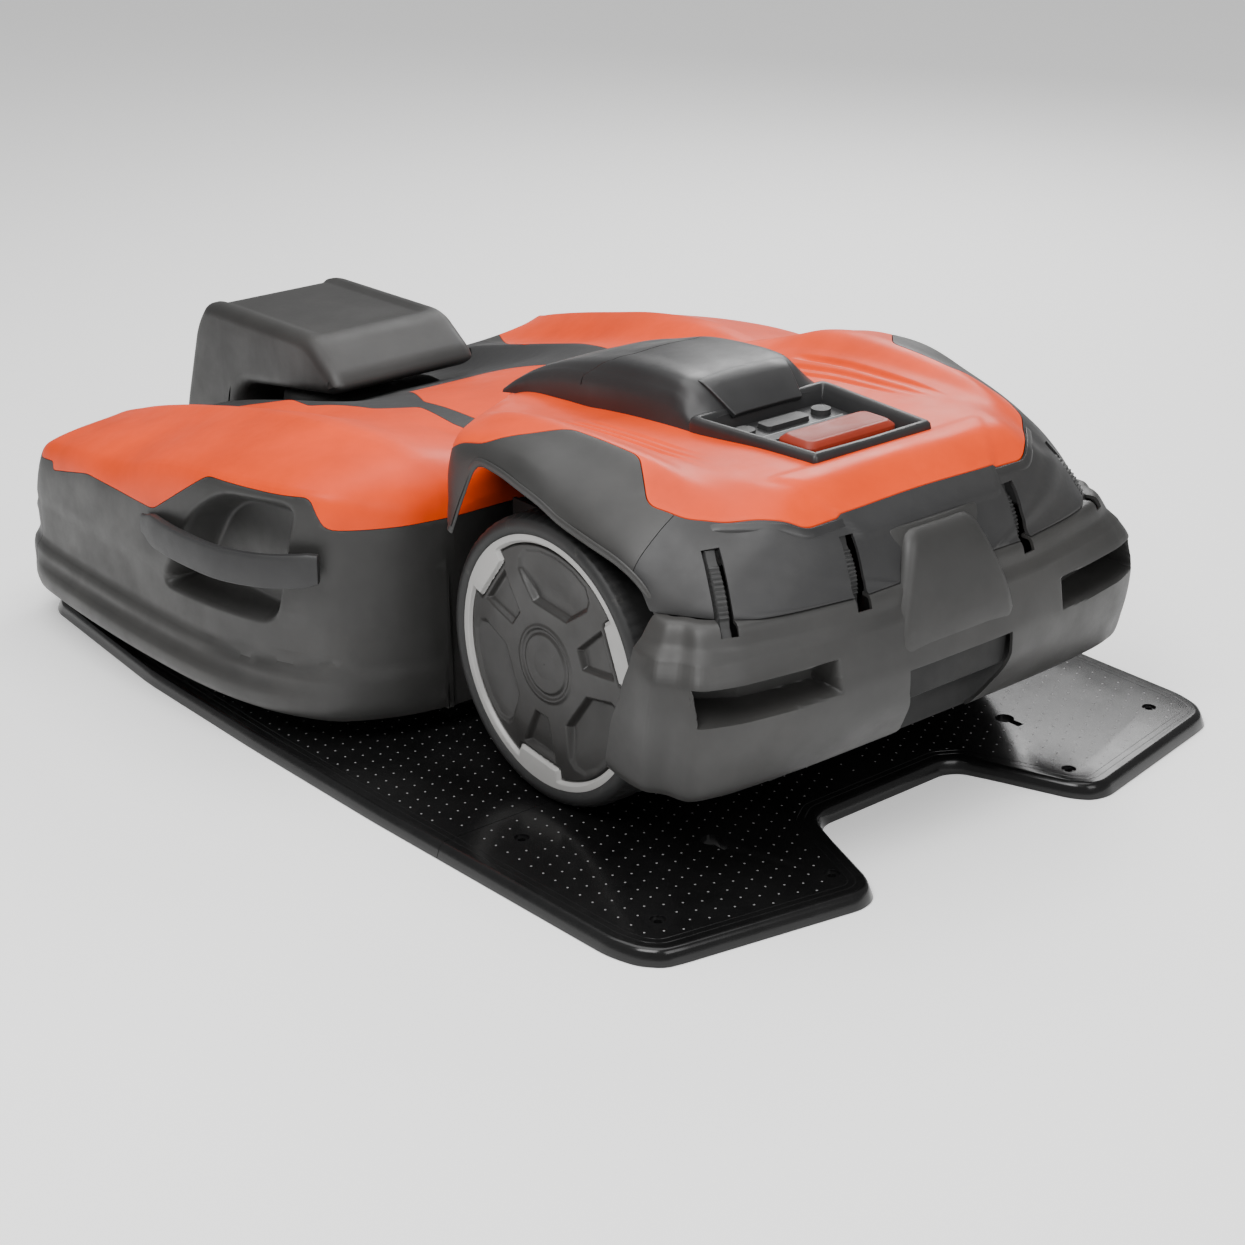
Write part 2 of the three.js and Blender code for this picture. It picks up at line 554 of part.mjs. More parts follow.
const hoodClear = loftY(unitSections(-0.6, 0, -9, 799));
const topCover = coverLoft(0, -12, 440).subtract(coverLoft(5, -6, 434)).subtract(hoodClear);
add('top_cover', topCover, 'black');

const framePlan = both([[0, 441], [128, 441], [129, 450], [113, 654], [106, 660], [0, 660]]);
const frameIn = both([[0, 452], [113, 452], [100, 642], [0, 642]]);
const rim = prism(framePlan, 'z', 486, 519).subtract(prism(frameIn, 'z', 400, 600))
  .subtract(hoodClear);
add('control_frame', rim, 'black');

const keypadPlan = both([[0, 453], [112, 453], [99, 641], [0, 641]]);
const tray = prism(keypadPlan, 'z', 486, 494);
const keys = [
  { name: 'power_button', x: 72, y: 486, rx: 14, ry: 14, round: true, z: 502 },
  { name: 'start_button', x: 0, y: 486, rx: 40, ry: 13, round: false, z: 501 },
  { name: 'wireless_button', x: -72, y: 486, rx: 14, ry: 14, round: true, z: 502 },
  { name: 'mode_keys', x: 0, y: 532, rx: 80, ry: 9, round: false, z: 500 },
  { name: 'stop_button', x: 0, y: 590, rx: 84, ry: 34, round: false, z: 517 },
];
let keypad = tray;
const keySolid = (k, grown, z0, z1) => (k.round
  ? cylZ(k.x, k.y, z0, z1, k.rx + grown, 16)
  : roundBox(k.x - k.rx - grown, k.x + k.rx + grown, k.y - k.ry - grown, k.y + k.ry + grown,
    z0, z1, 4));
for (const k of keys) keypad = keypad.subtract(keySolid(k, 0.6, 470, 520));
add('keypad_panel', keypad.add(prism(keypadPlan, 'z', 478, 480)), 'black');
for (const k of keys) {
  const travel = k.name === 'stop_button' ? 5 : 2.5;
  let key = keySolid(k, 0, 480.5 + travel, k.z);
  if (k.name === 'stop_button') {
    key = key.subtract(prism([[k.y - 40, 508], [k.y - 26, 518], [k.y - 40, 518]], 'x', -120, 120));
    key = key.subtract(prism([[k.y + 40, 508], [k.y + 40, 518], [k.y + 26, 518]], 'x', -120, 120));
  }
  add(k.name, key, k.name === 'stop_button' ? 'red' : 'panel');
}

// ------------------------------------------------------------- rear bumper
const bumperTable = [
  [150, [424, 612], [434, 690], [410, 752], [340, 771], [231, 778], [100, 780]],
  [160, [428, 612], [438, 692], [414, 760], [342, 781], [228, 789], [100, 792]],
  [225, [432, 628], [445, 705], [420, 772], [348, 801], [225, 818], [100, 832]],
  [262, [434, 645], [445, 712], [420, 775], [349, 804], [220, 824], [100, 834]],
  [312, [430, 660], [440, 715], [412, 772], [345, 797], [212, 817], [100, 824]],
  [336, [424, 662], [428, 708], [400, 760], [338, 785], [200, 811], [100, 817]],
  [375, [396, 668], [398, 696], [378, 732], [334, 763], [158, 797], [100, 800]],
];
const bumperRings = (d, front, z0, z1) => loftZ(bumperTable.map((r, i) => {
  const [z, a, b, c, e, f, g] = r;
  let zz = z;
  if (i === 0) zz = z0;
  if (i === bumperTable.length - 1) zz = z1;
  const fy = front === null ? a[1] : front;
  return { z: zz, half: [[0, fy], [a[0] - d, fy], [b[0] - d, b[1]], [c[0] - d * 0.7, c[1] - d * 0.7],
    [e[0] - d * 0.3, e[1] - d], [f[0], f[1] - d], [g[0], g[1] - d], [0, g[1] - d]] };
}));
const bumperOuter = bumperRings(0, null, 150, 375);
const bumperInner = bumperRings(SHELL, 500, 140, 386);
const pocketPlan = [[214, 850], [222, 776], [330, 758], [372, 728], [396, 733], [440, 850]];
const pocket = prism(pocketPlan, 'z', 266, 310);
const pocketWall = prism(grow(pocketPlan, 5), 'z', 261, 315);
const cutout = prism(both([[0, 100], [70, 100], [72, 164], [99, 240], [99, 268], [0, 268]]), 'y', 690, 900);
const bossWall = bossOuter.subtract(loftZ([
  { z: 290, half: [[0, 740], [106, 740], [104, 812], [98, 816], [0, 816]] },
  { z: 344, half: [[0, 740], [100, 740], [97, 802], [90, 807], [0, 807]] },
  { z: 430, half: [[0, 740], [62, 740], [58, 772], [52, 776], [0, 776]] },
]));
let bumper = bumperOuter.subtract(
  bumperInner.subtract(pocketWall).subtract(mirrorX(pocketWall)),
);
bumper = bumper.subtract(pocket).subtract(mirrorX(pocket)).subtract(cutout);
bumper = bumper.subtract(bossKeep.intersect(box(-200, 200, 600, 900, 326, 500))).add(bossWall);
bumper = bumper.subtract(slots);
add('rear_bumper', bumper, 'grey');

// ribbed rubber straps in the slots
strapSlots.forEach((s, k) => {
  let strap = slotBox(s, 7.5, 6, 6, 1, 6);
  for (let i = 0; i < 7; i += 1) {
    const at = 12 + i * 12;
    strap = strap.add(slotBox(s, 7.5, at, Math.hypot(s.low[0] - s.top[0], s.top[1] - s.low[1]) - at - 4, 5, 1));
  }
  addPair(k === 0 ? 'strap_inner' : 'strap_outer', strap, 'rubber');
});

// ---------------------------------------------------- chassis and machinery
let chassis = box(-262, 262, 212, 745, 128, 136);
chassis = chassis.add(box(-262, -256, 212, 745, 128, 372)).add(box(256, 262, 212, 745, 128, 372));
chassis = chassis.add(box(-262, 262, 212, 218, 128, 300)).add(box(-262, 262, 739, 745, 128, 250));
chassis = chassis.subtract(cylX(WHEEL_Y, WHEEL_Z, -300, 300, 46));
add('chassis', chassis, 'alloy');
addPair('gearmotor', cylX(WHEEL_Y, WHEEL_Z, 140, 255.4, 62)
  .add(cylX(WHEEL_Y, WHEEL_Z, 250, 268, 45)).add(cylX(WHEEL_Y, WHEEL_Z, 260, 300, 14, 12)), 'black');
add('battery', roundBox(-118, 118, 530, 720, 136.6, 290, 8), 'black');
add('control_box', roundBox(-120, 120, 236, 350, 136.6, 240, 8), 'alloy');
const hitch = box(-70, 70, 172.6, 211.4, 186, 206).add(box(-70, 70, 172.6, 211.4, 230, 250))
  .add(box(-70, 70, 186, 198, 190, 246));
add('hitch', hitch, 'steel');

// --------------------------------------------------------------- drive wheels
const tyreProfile = [
  [TYRE_IN, 176], [TYRE_IN, 190], [TYRE_IN + 10, 199], [TYRE_IN + 24, WHEEL_R],
  [TYRE_OUT - 24, WHEEL_R], [TYRE_OUT - 10, 199], [TYRE_OUT, 189], [TYRE_OUT, 184.5],
  [TYRE_OUT - 30, 184.5], [TYRE_OUT - 30, 176],
];
const ringProfile = [[TYRE_OUT - 29.4, 160], [TYRE_OUT - 29.4, 184], [TYRE_OUT - 3, 184],
  [TYRE_OUT + 1, 182], [TYRE_OUT - 2, 160]];
let tyre = turnX(tyreProfile, WHEEL_Y, WHEEL_Z, 36);
let ring = turnX(ringProfile, WHEEL_Y, WHEEL_Z, 36);
const LOBE_TURN = -67; // from straight up to the first wide lobe of the light ring
const radialCut = (outline, x0, x1, turn) => prism(outline, 'x', x0, x1)
  .rotate([turn, 0, 0]).translate([0, WHEEL_Y, WHEEL_Z]);
const lobeOutline = (r, half) => [[-half, r], [half, r], [half * 1.2, 170], [-half * 1.2, 170]];
const bigPocket = [[-36, 77], [36, 77], [73, 116], [62, 138], [-62, 138], [-73, 116]];
const smallPocket = [[-14, 76], [14, 76], [31, 130], [-31, 130]];
for (let k = 0; k < 3; k += 1) {
  ring = ring.add(radialCut(lobeOutline(145, 40), TYRE_OUT - 18, TYRE_OUT - 6, LOBE_TURN + 120 * k));
}
ring = ring.intersect(cylX(WHEEL_Y, WHEEL_Z, 300, 420, 184, 36));
let wheelDisc = turnX([[TYRE_IN + 12, 50], [TYRE_IN + 12, 175.4], [TYRE_OUT - 31, 175.4],
  [TYRE_OUT - 31, 159.4], [TYRE_OUT - 20, 159.4], [TYRE_OUT - 12, 36], [TYRE_OUT - 28, 36],
  [TYRE_OUT - 28, 18], [TYRE_OUT - 50, 18], [TYRE_OUT - 50, 50]], WHEEL_Y, WHEEL_Z, 36);
wheelDisc = wheelDisc.subtract(turnX([[TYRE_IN, 60], [TYRE_IN, 150], [TYRE_OUT - 40, 150],
  [TYRE_OUT - 40, 60]], WHEEL_Y, WHEEL_Z, 24));
for (let k = 0; k < 3; k += 1) {
  const turn = LOBE_TURN + 120 * k;
  wheelDisc = wheelDisc
    .subtract(radialCut(smallPocket, TYRE_OUT - 26, TYRE_OUT + 5, turn))
    .subtract(radialCut(bigPocket, TYRE_OUT - 26, TYRE_OUT + 5, turn + 60))
    .subtract(radialCut(lobeOutline(143.5, 41.5), TYRE_OUT - 19, TYRE_OUT + 5, turn));
}
const hubCap = turnX([[TYRE_OUT - 27, 0], [TYRE_OUT - 27, 35.2], [TYRE_OUT - 8, 35.2],
  [TYRE_OUT - 4, 30], [TYRE_OUT - 4, 0]].map((p) => [p[0], Math.max(p[1], 0)]), WHEEL_Y, WHEEL_Z, 24);
addPair('tyre', tyre, 'rubber');
addPair('rim_ring', ring, 'silver');
addPair('wheel_disc', wheelDisc, 'panel');
addPair('hub_cap', hubCap, 'panel');

export default group;
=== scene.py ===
import json
import math

import bmesh
import bpy
import numpy as np
from mathutils import Matrix, Vector


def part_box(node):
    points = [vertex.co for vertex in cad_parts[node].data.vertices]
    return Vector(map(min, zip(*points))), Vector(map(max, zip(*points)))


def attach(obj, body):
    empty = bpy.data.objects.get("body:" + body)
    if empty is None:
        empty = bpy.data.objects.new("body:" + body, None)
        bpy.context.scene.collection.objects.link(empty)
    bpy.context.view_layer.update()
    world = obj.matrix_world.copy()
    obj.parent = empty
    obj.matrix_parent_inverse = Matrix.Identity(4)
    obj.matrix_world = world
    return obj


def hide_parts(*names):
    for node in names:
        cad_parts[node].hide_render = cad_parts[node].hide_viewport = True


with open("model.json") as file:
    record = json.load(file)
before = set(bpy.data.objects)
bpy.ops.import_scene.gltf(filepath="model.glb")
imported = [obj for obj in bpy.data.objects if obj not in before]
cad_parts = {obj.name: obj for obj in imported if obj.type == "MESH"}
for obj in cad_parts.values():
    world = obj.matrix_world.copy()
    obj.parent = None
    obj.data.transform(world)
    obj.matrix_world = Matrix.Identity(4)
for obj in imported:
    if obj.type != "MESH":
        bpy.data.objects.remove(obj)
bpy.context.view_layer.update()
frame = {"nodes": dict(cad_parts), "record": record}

MM = 0.001
NODES = frame["nodes"]
SCENE = bpy.context.scene

# ---------------------------------------------------------------- camera
CAMERA_PLACE = (2.2753, 2.8133, 1.5766)
CAMERA_LOOK = (-0.59699, -0.70039, -0.39122)
CAMERA_LENS = 71.59

camera_data = bpy.data.cameras.new("camera")
camera_data.lens = CAMERA_LENS
camera_data.sensor_width = 36.0
camera = bpy.data.objects.new("camera", camera_data)
SCENE.collection.objects.link(camera)
camera.location = CAMERA_PLACE
camera.rotation_mode = "QUATERNION"
camera.rotation_quaternion = Vector(CAMERA_LOOK).to_track_quat("-Z", "Y")
SCENE.camera = camera


# ------------------------------------------------------------- mesh helpers
def new_object(name, verts, faces):
    """A mesh object from vertices in millimetres."""
    mesh = bpy.data.meshes.new(name)
    mesh.from_pydata([tuple(c * MM for c in v) for v in verts], [], faces)
    mesh.validate()
    obj = bpy.data.objects.new(name, mesh)
    SCENE.collection.objects.link(obj)
    return obj


def open_mesh(obj):
    """The object's mesh, opened for editing."""
    bm = bmesh.new()
    bm.from_mesh(obj.data)
    return bm


def close_mesh(bm, obj):
    """Writes an edited mesh back to its object."""
    bm.to_mesh(obj.data)
    bm.free()


def fix_normals(obj):
    """Turns all faces outwards."""
    bm = open_mesh(obj)
    bmesh.ops.recalc_face_normals(bm, faces=bm.faces)
    close_mesh(bm, obj)


def refine(bm, wanted):
    """Splits the faces whose middle, in millimetres, passes the test."""
    near = [f for f in bm.faces if wanted(*(f.calc_center_median() / MM))]
    edges = list(dict.fromkeys(e for f in near for e in f.edges))
    bmesh.ops.subdivide_edges(bm, edges=edges, cuts=2, use_grid_fill=True)


def bake(obj):
    """Applies the object's modifiers to its mesh."""
    graph = bpy.context.evaluated_depsgraph_get()
    mesh = bpy.data.meshes.new_from_object(obj.evaluated_get(graph))
    old = obj.data
    obj.modifiers.clear()
    obj.data = mesh
    bpy.data.meshes.remove(old)
    return obj


def skin_area(mesh):
    """Total area of a mesh's faces."""
    return sum(p.area for p in mesh.polygons)


def boolean(obj, tool, operation, keep_tool=False):
    """Cuts or joins; the second solver steps in when the first leaves next to nothing."""
    before = obj.data.copy()
    for solver in ("MANIFOLD", "EXACT"):
        mod = obj.modifiers.new("cut", "BOOLEAN")
        mod.operation = operation
        mod.solver = solver
        mod.object = tool
        bake(obj)
        if skin_area(obj.data) > 0.02 * skin_area(before):
            break
        obj.data = before.copy()
    if not keep_tool:
        bpy.data.objects.remove(tool)
    return obj


def copy_of(obj, name):
    """A separate copy of an object with a mesh of its own."""
    other = obj.copy()
    other.data = obj.data.copy()
    other.name = name
    SCENE.collection.objects.link(other)
    return other


def mirrored(obj, name):
    """A copy of the object on the other side of the middle plane."""
    other = copy_of(obj, name)
    other.data.transform(Matrix.Scale(-1, 4, (1, 0, 0)))
    other.data.flip_normals()
    return other


def main_body(obj, share=0.02):
    """Drops loose crumbs that a cut leaves behind."""
    bm = open_mesh(obj)
    left = set(bm.faces)
    islands = []
    while left:
        stack = [left.pop()]
        island = set(stack)
        while stack:
            face = stack.pop()
            for edge in face.edges:
                for other in edge.link_faces:
                    if other in left:
                        left.discard(other)
                        island.add(other)
                        stack.append(other)
        islands.append(island)
    sizes = [sum(f.calc_area() for f in i) for i in islands]
    most = max(sizes)
    crumbs = [f for i, s in zip(islands, sizes) if s < most * share for f in i]
    bmesh.ops.delete(bm, geom=crumbs, context="FACES")
    close_mesh(bm, obj)


def shade(obj, angle=38):
    """Smooth shading that stays sharp over edges steeper than the angle."""
    for poly in obj.data.polygons:
        poly.use_smooth = True
    obj.data.set_sharp_from_angle(angle=math.radians(angle))


def soften(obj, width, segments=2, angle=40):
    """Rounds the hard edges of a piece; the width is in millimetres."""
    mod = obj.modifiers.new("edge", "BEVEL")
    mod.width = width * MM
    mod.segments = segments
    mod.limit_method = "ANGLE"
    mod.angle_limit = math.radians(angle)
    mod.use_clamp_overlap = True
    mod.harden_normals = False


def rounded(obj, width, segments=2, angle=40, smooth=50):
    """Rounds a finished piece's edges and shades it smooth."""
    soften(obj, width, segments, angle)
    shade(obj, smooth)
    return obj


def prism(name, points, axis, low, high):
    """A straight block of an outline: x outlines are (y, z), y are (x, z), z are (x, y)."""
    point = {
        "x": lambda p, h: (h, p[0], p[1]),
        "y": lambda p, h: (p[0], h, p[1]),
        "z": lambda p, h: (p[0], p[1], h),
    }[axis]
    count = len(points)
    verts = [point(p, low) for p in points] + [point(p, high) for p in points]
    faces = [tuple(range(count)), tuple(range(2 * count - 1, count - 1, -1))]
    for i in range(count):
        j = (i + 1) % count
        faces.append((i, j, count + j, count + i))
    obj = new_object(name, verts, faces)
    fix_normals(obj)
    return obj


def block(name, x0, x1, y0, y1, z0, z1):
    """A box between two corners."""
    return prism(name, [(x0, y0), (x1, y0), (x1, y1), (x0, y1)], "z", z0, z1)


def both_sides(points):
    """Half outline (x >= 0, from the middle out and back) closed by its mirror image."""
    return points + [(-x, y) for x, y in reversed(points) if x > 0]


def whole_row(half):
    """Half a section, from the outer edge to the middle, carried on over the other side."""
    return half + [(-x, other) for x, other in reversed(half[:-1])]

def lerp(a, b, t):
    """The value a share t of the way from a to b."""
    return a + (b - a) * t


def smoothstep(low, high, value):
    """A soft step from 0 at low to 1 at high."""
    t = min(max((value - low) / (high - low), 0.0), 1.0)
    return t * t * (3 - 2 * t)


def table_value(table, key):
    """Straight interpolation in a list of (key, value)."""
    if key <= table[0][0]:
        return table[0][1]
    for (k0, v0), (k1, v1) in zip(table, table[1:]):
        if key <= k1:
            return lerp(v0, v1, (key - k0) / (k1 - k0))
    return table[-1][1]


def spline(points, counts, corners=()):
    """A smooth curve through points, with sharp corners where asked."""
    pts = [np.array(p, float) for p in points]
    last = len(pts) - 1
    out = []
    for i in range(last):
        p1, p2 = pts[i], pts[i + 1]
        span = np.linalg.norm(p2 - p1) + 1e-9
        if i > 0 and i not in corners:
            before = np.linalg.norm(p1 - pts[i - 1]) + 1e-9
            m1 = (p2 - pts[i - 1]) * span / (span + before)
        else:
            m1 = p2 - p1
        if i + 2 <= last and (i + 1) not in corners:
            after = np.linalg.norm(pts[i + 2] - p2) + 1e-9
            m2 = (pts[i + 2] - p1) * span / (span + after)
        else:
            m2 = p2 - p1
        for k in range(counts[i]):
            t = k / counts[i]
            h1 = 2 * t ** 3 - 3 * t ** 2 + 1
            h2 = t ** 3 - 2 * t ** 2 + t
            h3 = -2 * t ** 3 + 3 * t ** 2
            h4 = t ** 3 - t ** 2
            out.append(h1 * p1 + h2 * m1 + h3 * p2 + h4 * m2)
    out.append(pts[last])
    return out


def step_counts(rows, step):
    """How many steps each span gets, from the longest such span in any row."""
    spans = []
    for i in range(len(rows[0]) - 1):
        longest = max(math.dist(r[i], r[i + 1]) for r in rows)
        spans.append(max(1, round(longest / step)))
    return spans


def sheet_grid(rows, step_across, step_along, corners_across=(), corners_along=()):
    """A dense grid of points through rows of control points."""
    across = step_counts(rows, step_across)
    dense = [spline(r, across, corners_across) for r in rows]
    columns = list(zip(*dense))
    along = step_counts(list(map(list, columns)), step_along)
    grid = [spline(list(c), along, corners_along) for c in columns]
    return [list(r) for r in zip(*grid)]


def net(rows, columns, rows_meet=False, columns_meet=False):
    """Quads over a net of points; either way can be closed into a ring."""
    faces = []
    for i in range(rows if rows_meet else rows - 1):
        n = (i + 1) % rows
        for j in range(columns if columns_meet else columns - 1):
            k = (j + 1) % columns
            faces.append((i * columns + j, i * columns + k, n * columns + k, n * columns + j))
    return faces


def grid_mesh(name, grid):
    """An open sheet over a grid of points."""
    verts = [tuple(p) for row in grid for p in row]
    return new_object(name, verts, net(len(grid), len(grid[0])))


def ring_loft(name, rings, closed_tube=True):
    """Joins equal rings of points; a tube joins the last ring back to the first."""
    count = len(rings[0])
    verts = [p for ring in rings for p in ring]
    faces = net(len(rings), count, closed_tube, True)
    if not closed_tube:
        faces.append(tuple(reversed(range(count))))
        faces.append(tuple(range(len(verts) - count, len(verts))))
    obj = new_object(name, verts, faces)
    fix_normals(obj)
    return obj


def add_wall(obj, thickness):
    """Gives an open sheet a wall on its inner side."""
    mod = obj.modifiers.new("wall", "SOLIDIFY")
    mod.thickness = thickness * MM
    mod.offset = -1.0
    return bake(obj)


def thicken(obj, thickness, centre):
    """Gives an open sheet a wall on the side that faces centre (mm)."""
    fix_normals(obj)
    mesh = obj.data
    middle = Vector(centre) * MM
    outward = sum(p.normal.dot(p.center - middle) * p.area for p in mesh.polygons)
    if outward < 0:
        mesh.flip_normals()
    return add_wall(obj, thickness)


def direction(path, i):
    """Unit vector along a path at one of its points."""
    along = np.array(path[min(i + 1, len(path) - 1)]) - np.array(path[max(i - 1, 0)])
    return along / np.linalg.norm(along)


def corner_arc(start, corner, end, steps):
    """Points of the soft curve that replaces a corner."""
    curve = []
    for k in range(steps + 1):
        t = k / steps
        curve.append(start * (1 - t) ** 2 + corner * (2 * t * (1 - t)) + end * t ** 2)
    return curve


def round_corners(points, radius, steps=6):
    """A closed outline with its corners rounded by arcs of the given size."""
    out = []
    count = len(points)
    for i in range(count):
        p = Vector(points[i])
        a, b = Vector(points[i - 1]), Vector(points[(i + 1) % count])
        reach = min(radius, (a - p).length * 0.45, (b - p).length * 0.45)
        start = p + (a - p).normalized() * reach
        end = p + (b - p).normalized() * reach
        out.extend(tuple(q) for q in corner_arc(start, p, end, steps))
    return out


def polygon_depth(y, z, outline):
    """Distance inside an outline, in mm, negative outside."""
    best = 1e9
    inside = False
    count = len(outline)
    for i in range(count):
        (y0, z0), (y1, z1) = outline[i], outline[(i + 1) % count]
        ey, ez = y1 - y0, z1 - z0
        t = min(max(((y - y0) * ey + (z - z0) * ez) / (ey * ey + ez * ez), 0.0), 1.0)
        best = min(best, math.hypot(y - y0 - t * ey, z - z0 - t * ez))
        if (z0 > z) != (z1 > z) and y < ey * (z - z0) / (z1 - z0) + y0:
            inside = not inside
    return best if inside else -best


def offset_outline(points, distance):
    """The outline moved outwards by a distance."""
    count = len(points)
    area = 0.0
    for i in range(count):
        (x0, y0), (x1, y1) = points[i], points[(i + 1) % count]
        area += x0 * y1 - x1 * y0
    sign = 1 if area > 0 else -1
    out = []
    for i, p in enumerate(points):
        a, b = Vector(points[i - 1]), Vector(points[(i + 1) % count])
        e1 = (Vector(p) - a).normalized()
        e2 = (b - Vector(p)).normalized()
        n1 = Vector((e1.y, -e1.x)) * sign
        n2 = Vector((e2.y, -e2.x)) * sign
        k = max(1 + n1.dot(n2), 0.4)
        out.append(tuple(Vector(p) + (n1 + n2) * (distance / k)))
    return out


def soft_prism(name, outline, grown, radius, axis, low, high):
    """A straight block over an outline that is moved outwards and has rounded corners."""
    soft = round_corners(offset_outline(outline, grown), radius, 4)
    return prism(name, soft, axis, low, high)


# ---------------------------------------------------------------- materials
class Nodes:
    """Short names for building a material's node tree."""

    def __init__(self, name):
        self.material = bpy.data.materials.new(name)
        self.material.use_nodes = True
        self.tree = self.material.node_tree
        self.tree.nodes.clear()
        self.out = self.tree.nodes.new("ShaderNodeOutputMaterial")
        self.shader = self.tree.nodes.new("ShaderNodeBsdfPrincipled")
        self.tree.links.new(self.shader.outputs[0], self.out.inputs["Surface"])
        self.coords = self.tree.nodes.new("ShaderNodeTexCoord").outputs["Object"]

    def link(self, a, b):
        """Joins an output to an input."""
        self.tree.links.new(a, b)

    def noise(self, scale, detail=3.0, rough=0.5, distortion=0.0, stretch=None):
        """Cloudy noise over the object's own coordinates."""
        node = self.tree.nodes.new("ShaderNodeTexNoise")
        node.inputs["Scale"].default_value = scale
        node.inputs["Detail"].default_value = detail
        node.inputs["Roughness"].default_value = rough
        node.inputs["Distortion"].default_value = distortion
        source = self.coords
        if stretch is not None:
            mapping = self.tree.nodes.new("ShaderNodeMapping")
            mapping.inputs["Scale"].default_value = stretch
            self.link(self.coords, mapping.inputs["Vector"])
            source = mapping.outputs["Vector"]
        self.link(source, node.inputs["Vector"])
        return node.outputs["Fac"]

    def ramp(self, value, stops):
        """Maps a value to greys or colours at the given stops."""
        node = self.tree.nodes.new("ShaderNodeValToRGB")
        ramp = node.color_ramp
        while len(ramp.elements) < len(stops):
            ramp.elements.new(0.5)
        for element, (pos, colour) in zip(ramp.elements, stops):
            element.position = pos
            if isinstance(colour, (int, float)):
                colour = (colour, colour, colour)
            element.color = (*colour, 1.0)
        self.link(value, node.inputs["Fac"])
        return node.outputs["Color"]

    def mix(self, factor, a, b, blend="MIX"):
        """Blends two colours by a factor."""
        node = self.tree.nodes.new("ShaderNodeMix")
        node.data_type = "RGBA"
        node.blend_type = blend
        for index, value in ((0, factor), (6, a), (7, b)):
            if isinstance(value, (int, float)):
                node.inputs[index].default_value = value
            elif isinstance(value, tuple):
                node.inputs[index].default_value = (*value, 1.0)
            else:
                self.link(value, node.inputs[index])
        return node.outputs[2]

    def maths(self, operation, a, b):
        """One step of arithmetic on values or outputs."""
        node = self.tree.nodes.new("ShaderNodeMath")
        node.operation = operation
        for index, value in enumerate((a, b)):
            if isinstance(value, (int, float)):
                node.inputs[index].default_value = value
            else:
                self.link(value, node.inputs[index])
        return node.outputs[0]

    def edge_wear_and_glint(self, low=0.52, high=0.62):
        """White where an edge sticks out: worn edges, and on the studs a painted highlight."""
        geometry = self.tree.nodes.new("ShaderNodeNewGeometry")
        return self.ramp(geometry.outputs["Pointiness"], [(low, 0.0), (high, 1.0)])

    def bump(self, heights):
        """Stacks bump layers: (height, strength, distance in metres)."""
        normal = None
        for height, strength, distance in heights:
            node = self.tree.nodes.new("ShaderNodeBump")
            node.inputs["Strength"].default_value = strength
            node.inputs["Distance"].default_value = distance
            self.link(height, node.inputs["Height"])
            if normal is not None:
                self.link(normal, node.inputs["Normal"])
            normal = node.outputs["Normal"]
        self.link(normal, self.shader.inputs["Normal"])


DUST = (0.35, 0.32, 0.28)


def moulded_plastic(name, colour, rough, grain, grain_depth, wear_and_glint=0.25, sheen_noise=0.08,
                    dust=0.035, shine=0.5):
    """Injection-moulded plastic with grain, faint dust, handling marks and lighter worn edges, which on
    the studs are a painted highlight.
    """
    n = Nodes(name)
    broad = n.noise(6.0, 4.0, 0.6)
    fine = n.noise(90.0, 3.0, 0.6)
    darker = tuple(c * 0.84 for c in colour)
    lighter = tuple(min(1.0, c * 1.12 + 0.006) for c in colour)
    rubbed_and_glint = tuple(min(1.0, c * 1.5 + 0.025) for c in colour)
    base = n.mix(n.ramp(broad, [(0.3, 0.0), (0.72, 1.0)]), darker, lighter)
    base = n.mix(n.ramp(fine, [(0.35, 0.0), (0.7, 0.3)]), base, colour)
    film = n.ramp(n.noise(2.3, 6.0, 0.7), [(0.52, 0.0), (0.8, dust)])
    base = n.mix(film, base, DUST)
    # Edges lighten: wear from rubbing, and on the studs a painted highlight.
    edges = n.maths("MULTIPLY", n.edge_wear_and_glint(), wear_and_glint)
    base = n.mix(edges, base, rubbed_and_glint)
    n.link(base, n.shader.inputs["Base Color"])
    gloss = [(0.3, rough - sheen_noise), (0.7, rough + sheen_noise)]
    n.link(n.ramp(n.noise(14.0, 5.0, 0.65), gloss), n.shader.inputs["Roughness"])
    n.shader.inputs["Specular IOR Level"].default_value = shine
    n.bump([(n.noise(grain, 2.0, 0.6), 0.35, grain_depth), (n.noise(22.0, 2.0, 0.5), 0.06, 0.0006)])
    return n.material


def metal(name, colour, rough, stretch):
    """Machined or cast metal with fine directional marks."""
    n = Nodes(name)
    lines = n.noise(60.0, 4.0, 0.7, 0.0, stretch)
    base = n.mix(n.ramp(lines, [(0.3, 0.0), (0.7, 1.0)]), tuple(c * 0.8 for c in colour), colour)
    stain = n.ramp(n.noise(9.0, 5.0, 0.7), [(0.5, 0.0), (0.75, 0.35)])
    base = n.mix(stain, base, tuple(c * 0.55 for c in colour))
    n.link(base, n.shader.inputs["Base Color"])
    n.shader.inputs["Metallic"].default_value = 1.0
    n.link(n.ramp(lines, [(0.3, rough - 0.08), (0.7, rough + 0.12)]), n.shader.inputs["Roughness"])
    n.bump([(lines, 0.15, 0.0003)])
    return n.material


